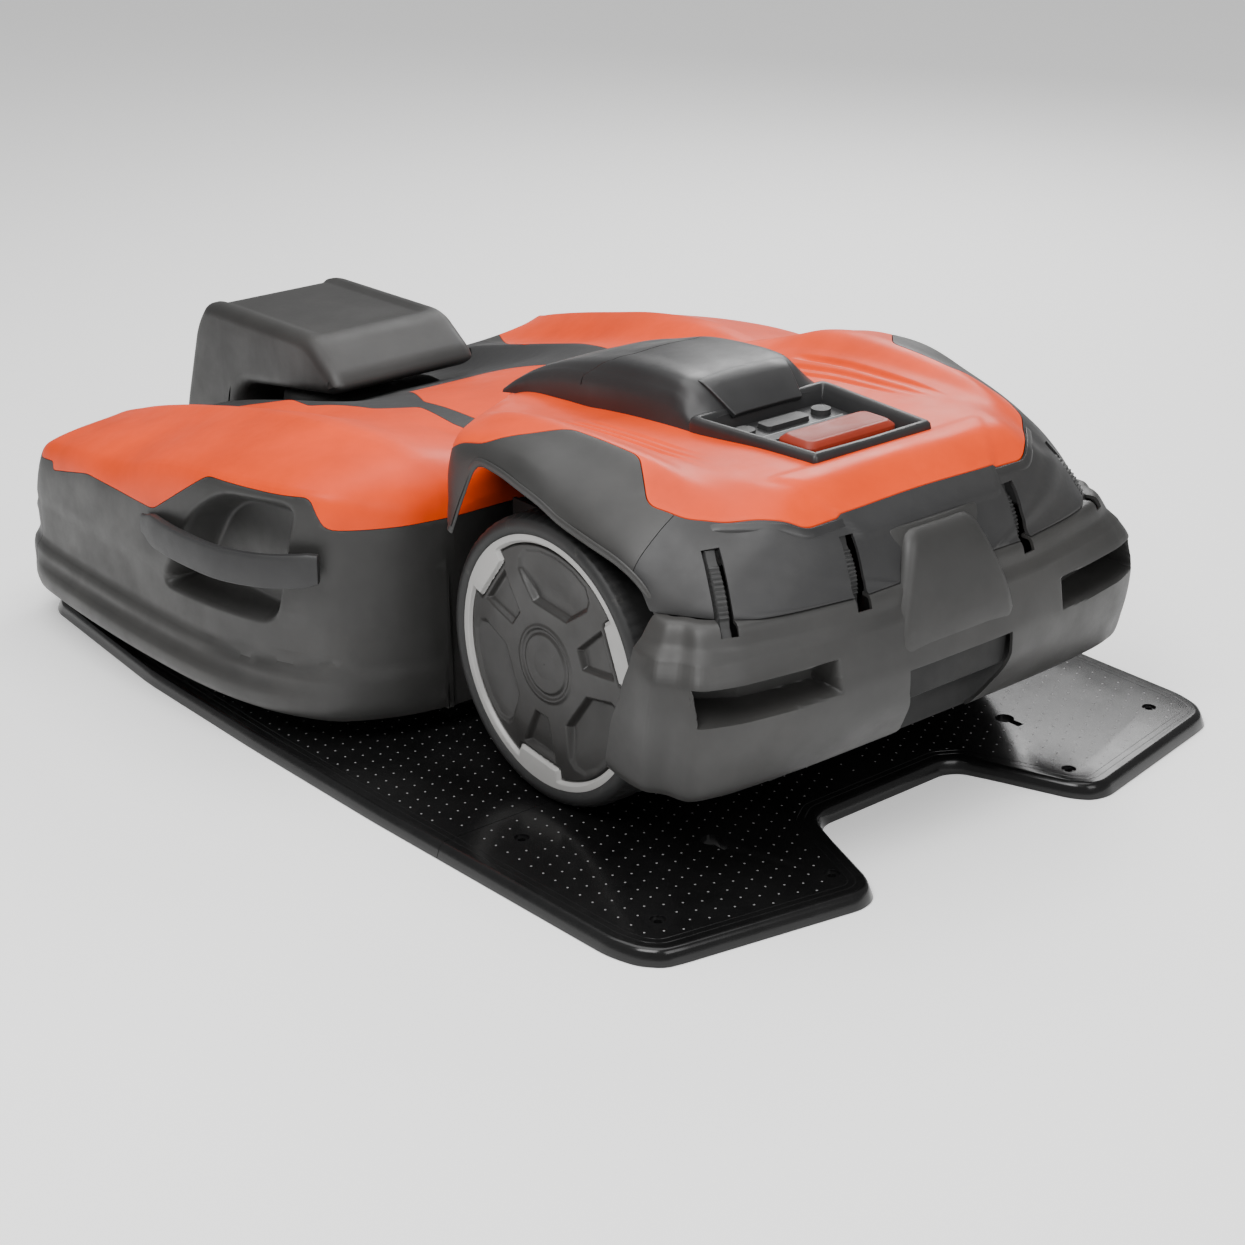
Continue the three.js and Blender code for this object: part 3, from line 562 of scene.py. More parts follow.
def rubber(name, colour, rough, grain=420.0):
    """Rubber with a dull bloom, scuffs and fine pits."""
    n = Nodes(name)
    bloom = n.ramp(n.noise(5.0, 6.0, 0.7), [(0.35, 0.0), (0.75, 1.0)])
    base = n.mix(bloom, colour, tuple(c * 1.7 + 0.008 for c in colour))
    scuff = n.ramp(n.noise(30.0, 6.0, 0.75, 0.4), [(0.58, 0.0), (0.72, 0.3)])
    base = n.mix(scuff, base, (0.10, 0.095, 0.085))
    n.link(base, n.shader.inputs["Base Color"])
    n.link(n.ramp(bloom, [(0.0, rough - 0.1), (1.0, rough + 0.08)]), n.shader.inputs["Roughness"])
    n.bump([(n.noise(grain, 3.0, 0.6), 0.4, 0.0003), (n.noise(12.0, 3.0, 0.5), 0.1, 0.001)])
    return n.material


# name, colour, roughness, grain scale and grain depth in metres
ORANGE = moulded_plastic("orange_plastic", (0.80, 0.055, 0.0), 0.42, 700.0, 0.00004, wear_and_glint=0.1,
                         dust=0.01, shine=0.22)
GREY = moulded_plastic("grey_plastic", (0.0235, 0.023, 0.022), 0.5, 900.0, 0.00022, wear_and_glint=0.3)
PANEL = moulded_plastic("panel_plastic", (0.0165, 0.0165, 0.017), 0.52, 1500.0, 0.00025, wear_and_glint=0.3)
DARK = moulded_plastic("dark_plastic", (0.0155, 0.0155, 0.016), 0.4, 1100.0, 0.00012)
WHEEL_GREY = moulded_plastic("wheel_plastic", (0.0175, 0.0165, 0.0155), 0.44, 1000.0, 0.00014,
                             wear_and_glint=0.4)
PLATE = moulded_plastic("plate_plastic", (0.0035, 0.0035, 0.0036), 0.2, 800.0, 0.00006,
                        wear_and_glint=0.12, dust=0.008, sheen_noise=0.04, shine=0.35)
SILVER = moulded_plastic("silver_coat", (0.36, 0.355, 0.345), 0.34, 900.0, 0.0001, wear_and_glint=0.1)
RED = moulded_plastic("red_plastic", (0.26, 0.022, 0.006), 0.42, 900.0, 0.0001, wear_and_glint=0.2,
                      shine=0.3)
STEEL = metal("bare_steel", (0.55, 0.55, 0.56), 0.35, (1.0, 1.0, 14.0))
ALLOY = metal("cast_alloy", (0.62, 0.63, 0.64), 0.45, (3.0, 3.0, 3.0))
TYRE = rubber("tyre_rubber", (0.008, 0.008, 0.008), 0.6)
STRAP = rubber("strap_rubber", (0.02, 0.02, 0.02), 0.6, 900.0)
# Near-black painted shade, put on inner parts and on pieces seen through openings and joints, where there
# is only shade.
PAINTED_SHADE = moulded_plastic("painted_shade_black", (0.004, 0.004, 0.004), 0.6, 900.0, 0.0001, wear_and_glint=0.1,
                        shine=0.3)
# The studs are the plate's black plastic: their light grey and strongly lightened edges are a painted
# highlight for the glints on the small domes.
STUD_HIGHLIGHT = moulded_plastic("stud_painted_highlight", (0.22, 0.22, 0.22), 0.3, 900.0, 0.00002, wear_and_glint=0.6)
PALE_LINE = moulded_plastic("pale_print", (0.32, 0.33, 0.33), 0.5, 900.0, 0.00005, wear_and_glint=0.0)

SLOT_LOOK = {
    "orange_cover": ORANGE, "grey_body": GREY, "grey_panel": PANEL, "black_cover": DARK,
    "plate_black": PLATE, "rubber_black": STRAP, "tyre_black": TYRE, "rim_silver": SILVER,
    "steel": STEEL, "alloy": ALLOY, "stop_red": RED,
}


def dress(obj, material):
    """Gives an object one material."""
    obj.data.materials.clear()
    obj.data.materials.append(material)


def place(obj, body, slot, material, *nodes):
    """Finishes a piece: look, body and the nodes it stands for; the material slot is not used."""
    dress(obj, material)
    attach(obj, body)
    if nodes:
        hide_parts(*nodes)
    return obj


# Carried-over nodes: joined flat faces, rounded edges, and a look of their own.
NODE_SLOT = {s["node"]: s["material_slot"] for s in frame["record"]["subparts"]}
# Inner nodes seen through the openings: they get the near-black painted shade.
PAINTED_SHADE_NODES = ("chassis", "hitch", "battery", "control_box", "gearmotor_left", "gearmotor_right")
NODE_EDGE = 0.9
for node_name, node in NODES.items():
    dress(node, PAINTED_SHADE if node_name in PAINTED_SHADE_NODES else SLOT_LOOK[NODE_SLOT[node_name]])
    flat = node.modifiers.new("flat", "DECIMATE")
    flat.decimate_type = "DISSOLVE"
    flat.angle_limit = math.radians(1.5)
    rounded(node, NODE_EDGE, 2, 32, 38)


# ------------------------------------------------------------ cutting deck
# One row per station along Y: y, foot height, skirt foot, ridge and flank half widths,
# then (x, z) of edge, shoulder, crest, scoop, inner border, channel, and the middle height.
DECK = [
    (-701, 66, 520, 532, 534, (528, 170), (505, 184), (400, 192), (300, 193), (235, 193), (165, 192), 192),
    (-682, 64, 545, 555, 555, (549, 182), (530, 198), (400, 208), (300, 209), (235, 207), (165, 205), 205),
    (-649, 62, 565, 575, 571, (562, 208), (540, 228), (400, 240), (300, 240), (235, 238), (165, 231), 230),
    (-608, 60, 575, 590, 580, (572, 272), (556, 303), (430, 322), (322, 306), (235, 300), (165, 272), 268),
    (-550, 60, 580, 597, 584, (575, 285), (555, 318), (410, 347), (316, 322), (235, 322), (165, 291), 288),
    (-450, 60, 586, 603, 588, (579, 300), (558, 333), (402, 375), (318, 342), (236, 348), (165, 318), 314),
    (-350, 60, 588, 606, 590, (579, 306), (557, 344), (400, 398), (318, 362), (240, 372), (165, 350), 346),
    (-240, 60, 588, 606, 590, (578, 322), (553, 374), (400, 421), (312, 390), (242, 395), (165, 386), 382),
    (-110, 60, 583, 600, 586, (572, 345), (553, 393), (395, 437), (302, 414), (242, 410), (165, 406), 405),
    (0, 60, 563, 580, 568, (556, 350), (538, 403), (385, 438), (300, 424), (238, 414), (165, 412), 412),
    (61, 60, 538, 553, 545, (538, 350), (520, 405), (370, 432), (290, 422), (235, 414), (165, 412), 412),
    (112, 60, 503, 515, 510, (503, 340), (485, 398), (355, 420), (280, 414), (230, 408), (165, 406), 406),
    (154, 60, 427, 440, 436, (430, 320), (415, 372), (330, 394), (265, 396), (220, 395), (165, 394), 394),
    (172, 60, 350, 360, 358, (352, 300), (340, 347), (290, 364), (245, 368), (210, 370), (165, 371), 372),
]
DECK_WALL = 5.0


def deck_row(row):
    """One section of the deck, from foot to foot, with its rounded skirt."""
    y, foot, xb, xr, xm, edge, shoulder, crest, scoop, border, channel, middle = row
    step = 7 if y > -690 else 2
    inner = (lerp(crest[0], scoop[0], 0.3), crest[1] - 9 * (1 - smoothstep(-330, -30, y)))
    half = [
        (xb, foot), (xr - 3, foot + 10), (xr, foot + 20), (xr - 1, foot + 36), (xm + 2, foot + 50),
        (xm, foot + 66), (xm - step, min(foot + 80, edge[1] - 12)),
        (lerp(xm - step, edge[0], 0.45), lerp(foot + 80, edge[1], 0.6)),
        edge, shoulder, crest, inner, scoop, border, channel, (0, middle),
    ]
    return [(x, y, z) for x, z in whole_row(half)]


# Places in a row where the surface has a crease: the crest and the inner border.
CREST = 10
BORDER = 13
ROW_END = 30
creases = [CREST, BORDER, ROW_END - CREST, ROW_END - BORDER]
deck_grid = sheet_grid([deck_row(r) for r in DECK], 9.0, 10.0, creases)


def closing_rows(edge_row, foot, inward):
    """Rows that take an end edge of the sheet straight down to the foot height."""
    rows = []
    for t in (0.0, 0.25, 0.5, 0.75, 1.0):
        rows.append([[p[0], p[1] + inward * t, lerp(p[2], foot, t)] for p in edge_row])
    return rows


front_rows = closing_rows(deck_grid[0], DECK[0][1], -1.5)
rear_rows = closing_rows(deck_grid[-1], DECK[-1][1], 1.0)
deck_sheet = grid_mesh("deck_sheet", list(reversed(front_rows))[:-1] + deck_grid + rear_rows[1:])

GRIP_OUTLINE = round_corners([(-237, 187), (30, 198), (72, 386), (-75, 370), (-132, 332)], 34, 5)
GRIP_FLOOR = 520


def near_grip(y, z):
    """True inside the box round the grip recess, seen from the side."""
    return -270 < y < 100 and 160 < z < 415


def press_grip(obj):
    """Pushes the soft-cornered grip recess into both flanks."""
    bm = open_mesh(obj)
    refine(bm, lambda x, y, z: abs(x) > 500 and near_grip(y, z))
    for v in bm.verts:
        x, y, z = (c / MM for c in v.co)
        if abs(x) < 480 or not near_grip(y, z):
            continue
        push = smoothstep(-5, 20, polygon_depth(y, z, GRIP_OUTLINE))
        if push > 0:
            v.co.x = math.copysign(lerp(abs(x), min(GRIP_FLOOR, abs(x)), push), x) * MM
    close_mesh(bm, obj)


FLANK_STEP = 3.5
FIN_HEIGHT = 7.0


def press_flank(obj):
    """A soft step along the lower flank and a tapering fin at its rear end."""
    for v in obj.data.vertices:
        x, y, z = (c / MM for c in v.co)
        if abs(x) < 400 or z > 230:
            continue
        step = smoothstep(126, 140, z) * (1 - smoothstep(196, 226, z))
        step *= FLANK_STEP * smoothstep(500, 540, abs(x))
        line = 128 + 0.10 * (y + 100)
        fin = FIN_HEIGHT * (1 - smoothstep(2, 11, abs(z - line)))
        fin *= smoothstep(-260, 60, y) * (1 - smoothstep(100, 130, y))
        v.co.x -= math.copysign(step - fin, x) * MM * smoothstep(480, 520, abs(x))


press_flank(deck_sheet)
press_grip(deck_sheet)
deck_shell = thicken(deck_sheet, DECK_WALL, (0, -260, 150))

COVER_PLAN = [
    (346, -607), (700, -607), (700, 230), (212, 230), (203, -4), (180, -121), (238, -160),
    (262, -300), (236, -392), (262, -470),
]
COVER_SIDE = [
    (-607, 286), (-560, 291), (-556, 278), (-442, 304), (-243, 303), (-112, 386), (84, 396),
    (106, 352), (230, 348), (230, 600), (-607, 600),
]
BADGE_PLAN = both_sides([(0, -297), (75, -297), (150, -150), (160, 0), (165, 140), (0, 140)])
SADDLE_PLAN = both_sides([
    (0, -640), (300, -612), (262, -470), (236, -392), (262, -300), (238, -160), (180, -121),
    (203, -4), (212, 300), (0, 300),
])
BUMPER_SIDE = [(-760, 40), (-640, 40), (-640, 196), (-652, 216), (-760, 216)]
SEAM = 0.9
COVER_CORNER = 12
BADGE_CORNER = 10


def cover_zone(grown):
    """The space a deck cover takes up, seen from above and from the side."""
    zone = soft_prism("zone", COVER_PLAN, grown, COVER_CORNER, "z", 190, 620)
    side = soft_prism("side", COVER_SIDE, grown, COVER_CORNER, "x", 20, 720)
    return boolean(zone, side, "INTERSECT")


def part_of(shell, zone, name, operation="INTERSECT"):
    """A copy of the shell cut with a zone, without crumbs."""
    piece = copy_of(shell, name)
    boolean(piece, zone, operation)
    main_body(piece)
    return piece


def finish_shell(piece, round_edge=1.1, angle=42):
    """Cleans cut borders and rounds them."""
    bm = open_mesh(piece)
    bmesh.ops.remove_doubles(bm, verts=bm.verts, dist=0.12 * MM)
    bmesh.ops.dissolve_degenerate(bm, edges=bm.edges, dist=0.05 * MM)
    close_mesh(bm, piece)
    return rounded(piece, round_edge, 2, angle)


deck_cover = part_of(deck_shell, cover_zone(0.0), "deck_cover_shell_left")
deck_cover_right = mirrored(deck_cover, "deck_cover_shell_right")
badge_zone = prism("badge_zone", round_corners(BADGE_PLAN, BADGE_CORNER, 4), "z", 330, 620)
badge_panel = part_of(deck_shell, badge_zone, "deck_badge_shell")
bumper_zone = prism("bumper_zone", BUMPER_SIDE, "x", -700, 700)
deck_bumper = part_of(deck_shell, bumper_zone, "deck_bumper_shell")

rest = copy_of(deck_shell, "rest")
keep_left = cover_zone(SEAM)
keep_right = mirrored(keep_left, "keep_right")
boolean(rest, keep_left, "DIFFERENCE")
boolean(rest, keep_right, "DIFFERENCE")
deck_saddle = part_of(rest, prism("saddle_zone", SADDLE_PLAN, "z", 255, 620), "deck_saddle_shell")
badge_keep = soft_prism("badge_keep", BADGE_PLAN, SEAM, BADGE_CORNER, "z", 320, 630)
boolean(deck_saddle, badge_keep, "DIFFERENCE")
main_body(deck_saddle)
saddle_keep = prism("saddle_keep", offset_outline(SADDLE_PLAN, 0.5), "z", 254, 630)
deck_skirt = part_of(rest, saddle_keep, "deck_skirt_shell", "DIFFERENCE")
bumper_keep = prism("bumper_keep", offset_outline(BUMPER_SIDE, SEAM), "x", -700, 700)
boolean(deck_skirt, bumper_keep, "DIFFERENCE")
main_body(deck_skirt)
bpy.data.objects.remove(rest)
bpy.data.objects.remove(deck_shell)

for piece, slot, look, node_name in (
        (deck_cover, "orange_cover", ORANGE, "deck_cover_left"),
        (deck_cover_right, "orange_cover", ORANGE, "deck_cover_right"),
        (badge_panel, "orange_cover", ORANGE, "deck_badge_panel"),
        (deck_bumper, "grey_body", PANEL, "deck_bumper"),
        (deck_saddle, "grey_panel", PANEL, "deck_saddle"),
        (deck_skirt, "grey_body", GREY, "deck_skirt")):
    place(finish_shell(piece), "mower", slot, look, node_name)


GRIP_PATH = [
    (590, -262, 279), (600, -200, 279), (603, -120, 280), (599, -30, 284), (579, 50, 292),
    (553, 98, 299), (533, 120, 303),
]


def grip_section(t):
    """Section of the grip bar, as (outward, up), at a share t of its length."""
    tall = 24 - 3 * smoothstep(0.9, 1.0, t) - 10 * (1 - smoothstep(0.0, 0.12, t))
    thick = 13 - 7 * (1 - smoothstep(0.0, 0.1, t))
    return [(3, -tall), (3, tall - 6), (0, tall), (-thick + 3, tall), (-thick, tall - 4),
            (-thick, -tall + 4), (-thick + 3, -tall - 1)]


def grip_pieces():
    """The grip bars that bridge the recesses in both flanks."""
    smooth = spline(GRIP_PATH, [6] * (len(GRIP_PATH) - 1))
    rings = []
    for i, p in enumerate(smooth):
        along = direction(smooth, i)
        side = np.array([along[1], -along[0], 0.0])
        side /= np.linalg.norm(side)
        section = grip_section(i / (len(smooth) - 1))
        rings.append([tuple(p + side * out + np.array([0, 0, up])) for out, up in section])
    bar = rounded(ring_loft("grip_left", rings, False), 3.0, 3, 35)
    other = mirrored(bar, "grip_right")
    place(bar, "mower", "grey_panel", PANEL, "grip_bar_left")
    place(other, "mower", "grey_panel", PANEL, "grip_bar_right")


grip_pieces()

# Dark block on the deck's nose, under the tower's head: y, half width, underside and top.
DOCK_BLOCK = [
    (-640, 96, 236, 288), (-632, 102, 236, 294), (-560, 104, 270, 305), (-470, 104, 300, 318),
    (-440, 98, 306, 319), (-424, 88, 306, 316),
]


def dock_block():
    """The block that meets the contacts under the tower's head."""
    rings = []
    for y, half, low, top in DOCK_BLOCK:
        corners = [(-half, low), (half, low), (half - 6, top), (-half + 6, top)]
        rings.append([(x, y, z) for x, z in round_corners(corners, 9, 4)])
    return rounded(ring_loft("dock_block", rings, False), 1.5)


# The block is dressed in the near-black painted shade.
place(dock_block(), "mower", "black_cover", PAINTED_SHADE)


# --------------------------------------------------------- drive unit shell
# One row per station along Y: y, foot height, then (x, z) of side foot, arch edge, shoulder,
# hump, valley side, and the middle height.
UNIT = [
    (-8, 429, (98, 430), (97, 432), (94, 434), (88, 435), (60, 437), 438),
    (60, 438, (172, 440), (170, 448), (160, 456), (135, 460), (100, 458), 458),
    (140, 441, (252, 446), (250, 466), (236, 484), (196, 480), (125, 468), 468),
    (205, 441, (352, 448), (350, 470), (330, 494), (285, 501), (140, 474), 474),
    (251, 368, (402, 400), (400, 455), (384, 497), (300, 517), (180, 482), 478),
    (313, 368, (405, 420), (403, 487), (384, 510), (300, 527), (185, 490), 485),
    (400, 340, (407, 420), (403, 484), (384, 510), (300, 530), (190, 498), 492),
    (490, 330, (407, 410), (403, 460), (382, 488), (297, 527), (196, 502), 500),
    (560, 330, (406, 400), (400, 440), (374, 472), (292, 518), (205, 506), 505),
    (620, 330, (402, 390), (392, 427), (356, 461), (290, 498), (212, 507), 506),
    (665, 330, (392, 385), (376, 415), (340, 447), (286, 476), (214, 505), 507),
    (700, 330, (372, 382), (357, 405), (330, 431), (282, 458), (205, 499), 506),
    (735, 330, (348, 378), (337, 392), (302, 421), (258, 451), (214, 469), 474),
    (770, 330, (300, 377), (286, 384), (246, 401), (205, 421), (150, 435), 440),
    (798, 330, (160, 376), (150, 377), (120, 378), (90, 379), (60, 380), 381),
]
UNIT_WALL = 5.0


def unit_row(row):
    """One section of the drive unit's cover, from foot to foot."""
    y, foot, side, arch, shoulder, hump, valley, middle = row
    flank = (side[0] + 1, lerp(foot, side[1], 0.5))
    slope = (lerp(shoulder[0], hump[0], 0.5), lerp(shoulder[1], hump[1], 0.5) + 3)
    inner = (lerp(hump[0], valley[0], 0.42), lerp(hump[1], valley[1], 0.55))
    floor = (valley[0] * 0.5, lerp(valley[1], middle, 0.55))
    half = [(side[0] + 2, foot), flank, side, arch, shoulder, slope, hump, inner, valley, floor,
            (0, middle)]
    return [(x, y, z) for x, z in whole_row(half)]


unit_grid = sheet_grid([unit_row(r) for r in UNIT], 8.0, 8.0)
unit_front = closing_rows(unit_grid[0], 420, -1.0)
unit_rear = closing_rows(unit_grid[-1], 330, 1.0)
unit_rows = list(reversed(unit_front))[:-1] + unit_grid + unit_rear[1:]
unit_sheet = grid_mesh("unit_sheet", unit_rows)


def line_distance(x, y, path):
    """Distance from a path, and the share of the path's length at the nearest point."""
    best = (1e9, 0.0)
    for i in range(len(path) - 1):
        (x0, y0), (x1, y1) = path[i], path[i + 1]
        ex, ey = x1 - x0, y1 - y0
        t = min(max(((x - x0) * ex + (y - y0) * ey) / (ex * ex + ey * ey), 0.0), 1.0)
        d = math.hypot(x - x0 - t * ex, y - y0 - t * ey)
        if d < best[0]:
            best = (d, (i + t) / (len(path) - 1))
    return best


# Long tapering grooves in the inner wall of each hump: path, half width, depth.
GROOVES = [
    ([(232, 262), (236, 380), (234, 500), (226, 600)], 9.0, 5.0),
    ([(204, 262), (212, 380), (214, 500), (211, 585)], 8.0, 4.0),
    ([(178, 262), (190, 380), (195, 480), (196, 560)], 7.0, 3.2),
]


def press_grooves(obj):
    """Cuts the grooves and raises the low step behind the hood's rear edge."""
    bm = open_mesh(obj)
    refine(bm, lambda x, y, z: 150 < abs(x) < 262 and 240 < y < 640 and z > 440)
    for v in bm.verts:
        x, y, z = (c / MM for c in v.co)
        if z > 440 and y > 655:
            half = 150 + 0.62 * (741 - y)
            step = smoothstep(657, 668, y) * (1 - smoothstep(half - 5, half + 3, abs(x)))
            v.co.z += 3.2 * step * MM
            v.co.y += 2.0 * step * smoothstep(700, 735, y) * MM
        if z < 440 or not 240 < y < 640:
            continue
        for path, half, depth in GROOVES:
            d, t = line_distance(abs(x), y, path)
            taper = smoothstep(0.0, 0.12, t) * (1 - smoothstep(0.45, 1.0, t))
            v.co.z -= depth * taper * (1 - smoothstep(half * 0.25, half, d)) * MM
    close_mesh(bm, obj)


press_grooves(unit_sheet)
unit_shell = thicken(unit_sheet, UNIT_WALL, (0, 400, 330))
boolean(unit_shell, block("below", -600, 600, 100, 900, 200, 377), "DIFFERENCE")
main_body(unit_shell)


def cylinder(name, axis, centre, radius, low, high, count=96):
    """A round bar along an axis."""
    points = []
    for i in range(count):
        a = 2 * math.pi * i / count
        points.append((centre[0] + radius * math.cos(a), centre[1] + radius * math.sin(a)))
    return prism(name, points, axis, low, high)


WHEEL_Y, WHEEL_Z = 439, 227
ARCH = [
    (200, 300), (253, 366), (285, 430), (318, 480), (360, 482), (409, 472), (450, 462), (491, 448),
    (550, 436), (605, 422), (640, 402), (664, 372), (664, 300),
]
arch_curve = spline([(y, z, 0) for y, z in ARCH], [5] * (len(ARCH) - 1), (0, 1, 11, 12))


def cut_wheel_rooms(obj, radius, room, opening, lift):
    """Cuts each wheel's room and the arch over it; room and opening are x ranges."""
    for side in (-1, 1):
        low, high = sorted((room[0] * side, room[1] * side))
        wheel_room = cylinder("room", "x", (WHEEL_Y, WHEEL_Z), radius, low, high)
        boolean(obj, wheel_room, "DIFFERENCE")
        low, high = sorted((opening[0] * side, opening[1] * side))
        arch = prism("arch", [(p[0], p[1] + lift) for p in arch_curve], "x", low, high)
        boolean(obj, arch, "DIFFERENCE")


cut_wheel_rooms(unit_shell, 219, (280, 398), (390, 460), 0)
main_body(unit_shell)

HOOD_PLAN = both_sides([
    (0, -40), (125, -40), (132, -20), (260, 135), (350, 196), (392, 250), (388, 318), (304, 398),
    (295, 524), (338, 590), (318, 640), (232, 722), (205, 741), (0, 741),
])
HOOD_CORNER = 14
HOOD_SEAM = 1.4
BAY = both_sides([(0, 60), (70, 60), (100, 200), (118, 440), (103, 640), (0, 640)])

hood_zone = soft_prism("zone", HOOD_PLAN, 0.0, HOOD_CORNER, "z", 380, 640)
hood = part_of(unit_shell, hood_zone, "hood_shell")
boolean(hood, prism("bay", BAY, "z", 300, 700), "DIFFERENCE")
main_body(hood)
rest = copy_of(unit_shell, "rest")
hood_keep = soft_prism("zone", HOOD_PLAN, HOOD_SEAM, HOOD_CORNER, "z", 370, 650)
boolean(rest, hood_keep, "DIFFERENCE")
# The rear panel and the fenders meet at a joint 1 mm wide.
rear_zone = block("rear_zone", -440, 440, 626.5, 900, 300, 640)
rear_panel = part_of(rest, rear_zone, "rear_panel_shell")
fender_zone = block("fender_zone", 60, 500, -60, 625.5, 300, 640)
fender = part_of(rest, fender_zone, "fender_shell_left")
fender_right = mirrored(fender, "fender_shell_right")
bpy.data.objects.remove(rest)
bpy.data.objects.remove(unit_shell)


def strap_frame(spec, side):
    """Matrix that stands a strap's own frame (x across, y out, z up along it) on the body."""
    x, (top_y, top_z), (low_y, low_z), turn = spec
    tilt = math.atan2(low_y - top_y, top_z - low_z)
    middle = Vector((x * side, (top_y + low_y) / 2, (top_z + low_z) / 2)) * MM
    turned = Matrix.Rotation(math.radians(-turn * side), 4, "Z")
    tilted = Matrix.Rotation(tilt, 4, "X")
    return Matrix.Translation(middle) @ turned @ tilted


def strap_length(spec):
    """Length of a strap's slot."""
    return math.dist(spec[1], spec[2])


# Middle x, upper end (y, z), lower end (y, z) and the turn round the corner in degrees.
STRAPS = {
    "inner": (155, (764, 449), (797, 356), 6),
    "outer": (337, (690, 455), (766, 362), 24),
}
SLOT_HALF = 11.5


def cut_slots(obj, half=SLOT_HALF):
    """Cuts the four slots that the straps sit in."""
    for spec in STRAPS.values():
        for side in (-1, 1):
            length = strap_length(spec)
            tool = block("slot", -half, half, -34, 40, -length / 2, length / 2)
            tool.data.transform(strap_frame(spec, side))
            boolean(obj, tool, "DIFFERENCE")


cut_slots(rear_panel)
main_body(rear_panel, 0.01)

# Layers of the raised block in the middle of the rear: height, half width, how far back.
BOSS = [
    (290, 108, 829), (302, 110, 829), (322, 107, 825), (344, 101, 820), (368, 91.5, 813.5),
    (392, 81.5, 806.5), (410, 73.5, 800), (422, 67.5, 794.5), (430, 62, 788.5), (435, 56, 781),
    (437.5, 47, 772),
]
BOSS_CORNER = 17.0
BOSS_FRONT = 735


def boss_solid(name, grow, taller=0.0):
    """The raised block in the middle of the rear, rounded at its sides and its top."""
    rings = []
    for i, (z, half, y) in enumerate(BOSS):
        top = z + (taller if i == len(BOSS) - 1 else 0)
        x, back = half + grow, y + grow
        outline = [(x, BOSS_FRONT), (x, back), (-x, back), (-x, BOSS_FRONT)]
        rings.append([(a, b, top) for a, b in round_corners(outline, BOSS_CORNER, 8)])
    return ring_loft(name, rings, False)


boolean(rear_panel, boss_solid("boss_keep", 1.2, 1.2), "DIFFERENCE")
main_body(rear_panel, 0.01)
for piece, slot, look, node_name in (
        (hood, "orange_cover", ORANGE, "hood"),
        (rear_panel, "grey_panel", PANEL, "rear_panel"),
        (fender, "grey_body", GREY, "fender_left"),
        (fender_right, "grey_body", GREY, "fender_right")):
    place(finish_shell(piece), "mower", slot, look, node_name)


# ----------------------------------------------------------------- straps
STRAP_STEPS = 84
STRAP_HALF = 7.5
STRAP_BOW = 7.5
RIB_HEIGHT = 2.4
RIB_COUNT = 11
RIBS_FROM, RIBS_TO = 0.2, 0.82


def strap(spec, side, name):
    """Ribbed rubber strap: a narrow band with cross ribs that bulges out in the middle."""
    length = strap_length(spec) - 2.0
    half = STRAP_HALF
    rings = []
    for i in range(STRAP_STEPS + 1):
        t = i / STRAP_STEPS
        z = (t - 0.5) * length
        bow = STRAP_BOW * math.sin(math.pi * min(max((t - 0.12) / 0.76, 0.0), 1.0))
        rib = 0.0
        if RIBS_FROM < t < RIBS_TO:
            wave = 2 * math.pi * RIB_COUNT * (t - RIBS_FROM) / (RIBS_TO - RIBS_FROM)
            rib = RIB_HEIGHT * (0.5 - 0.5 * math.cos(wave))
        out = -13 + bow + rib
        section = [(-half, -24), (-half, out - 2.0), (-half + 1.5, out), (half - 1.5, out),
                   (half, out - 2.0), (half, -24)]
        rings.append([(x, y, z) for x, y in section])
    obj = ring_loft(name, rings, False)
    obj.data.transform(strap_frame(spec, side))
    shade(obj, 40)
    return obj


for kind, spec in STRAPS.items():
    for side, word in ((1, "left"), (-1, "right")):
        band = strap(spec, side, f"strap_band_{kind}_{word}")
        place(band, "mower", "rubber_black", STRAP, f"strap_{kind}_{word}")


# ------------------------------------------------------------- rear bumper
# z, then six (x, y) from the side's front end round the corner to the middle.
BUMPER = [
    (150, (424, 612), (434, 690), (410, 752), (340, 771), (231, 778), (100, 780)),
    (160, (428, 612), (438, 692), (414, 760), (342, 781), (228, 789), (100, 792)),
    (190, (430, 619), (442, 698), (418, 766), (345, 792), (226, 808), (100, 813)),
    (225, (432, 628), (445, 705), (420, 772), (348, 801), (225, 819), (100, 832)),
    (262, (434, 645), (445, 712), (420, 775), (349, 804), (220, 824), (100, 834)),
    (290, (432, 652), (443, 714), (416, 774), (347, 801), (216, 821), (100, 829)),
    (312, (430, 660), (440, 715), (412, 772), (345, 797), (212, 817), (100, 824)),
    (336, (424, 662), (428, 708), (400, 760), (338, 785), (200, 811), (100, 818)),
    (349, (412, 664), (414, 702), (390, 748), (336, 775), (184, 805), (100, 810)),
    (374, (397, 668), (399, 696), (379, 733), (335, 764), (159, 798), (100, 802)),
    (376.3, (382, 668), (384, 688), (364, 720), (324, 748), (150, 784), (100, 788)),
]


def bumper_row(row):
    """One layer of the rear bumper, from the left front end round to the right."""
    z, a, b, c, e, f, g = row
    flank = (lerp(b[0], c[0], 0.62), lerp(b[1], c[1], 0.45))
    corner = (lerp(c[0], e[0], 0.5), lerp(c[1], e[1], 0.5) + 4)
    half = [(a[0] - 8, a[1] - 4), a, b, flank, c, corner, e, f, g, (0, g[1] + 1)]
    return [(x, y, z) for x, y in whole_row(half)]


bumper_rows = [bumper_row(r) for r in BUMPER]
bumper_sheet = grid_mesh("bumper_sheet", sheet_grid(bumper_rows, 7.0, 6.0, (), (7, 8)))
POCKET_LOW, POCKET_HIGH = 262, 312
POCKET_INNER, POCKET_OUTER = 211, 418
POCKET_TURN = 398
# How far back the recess's inner wall stands: x, y.
POCKET_WALL = [(214, 812), (222, 776), (330, 752), (372, 722), (400, 700), (440, 690)]


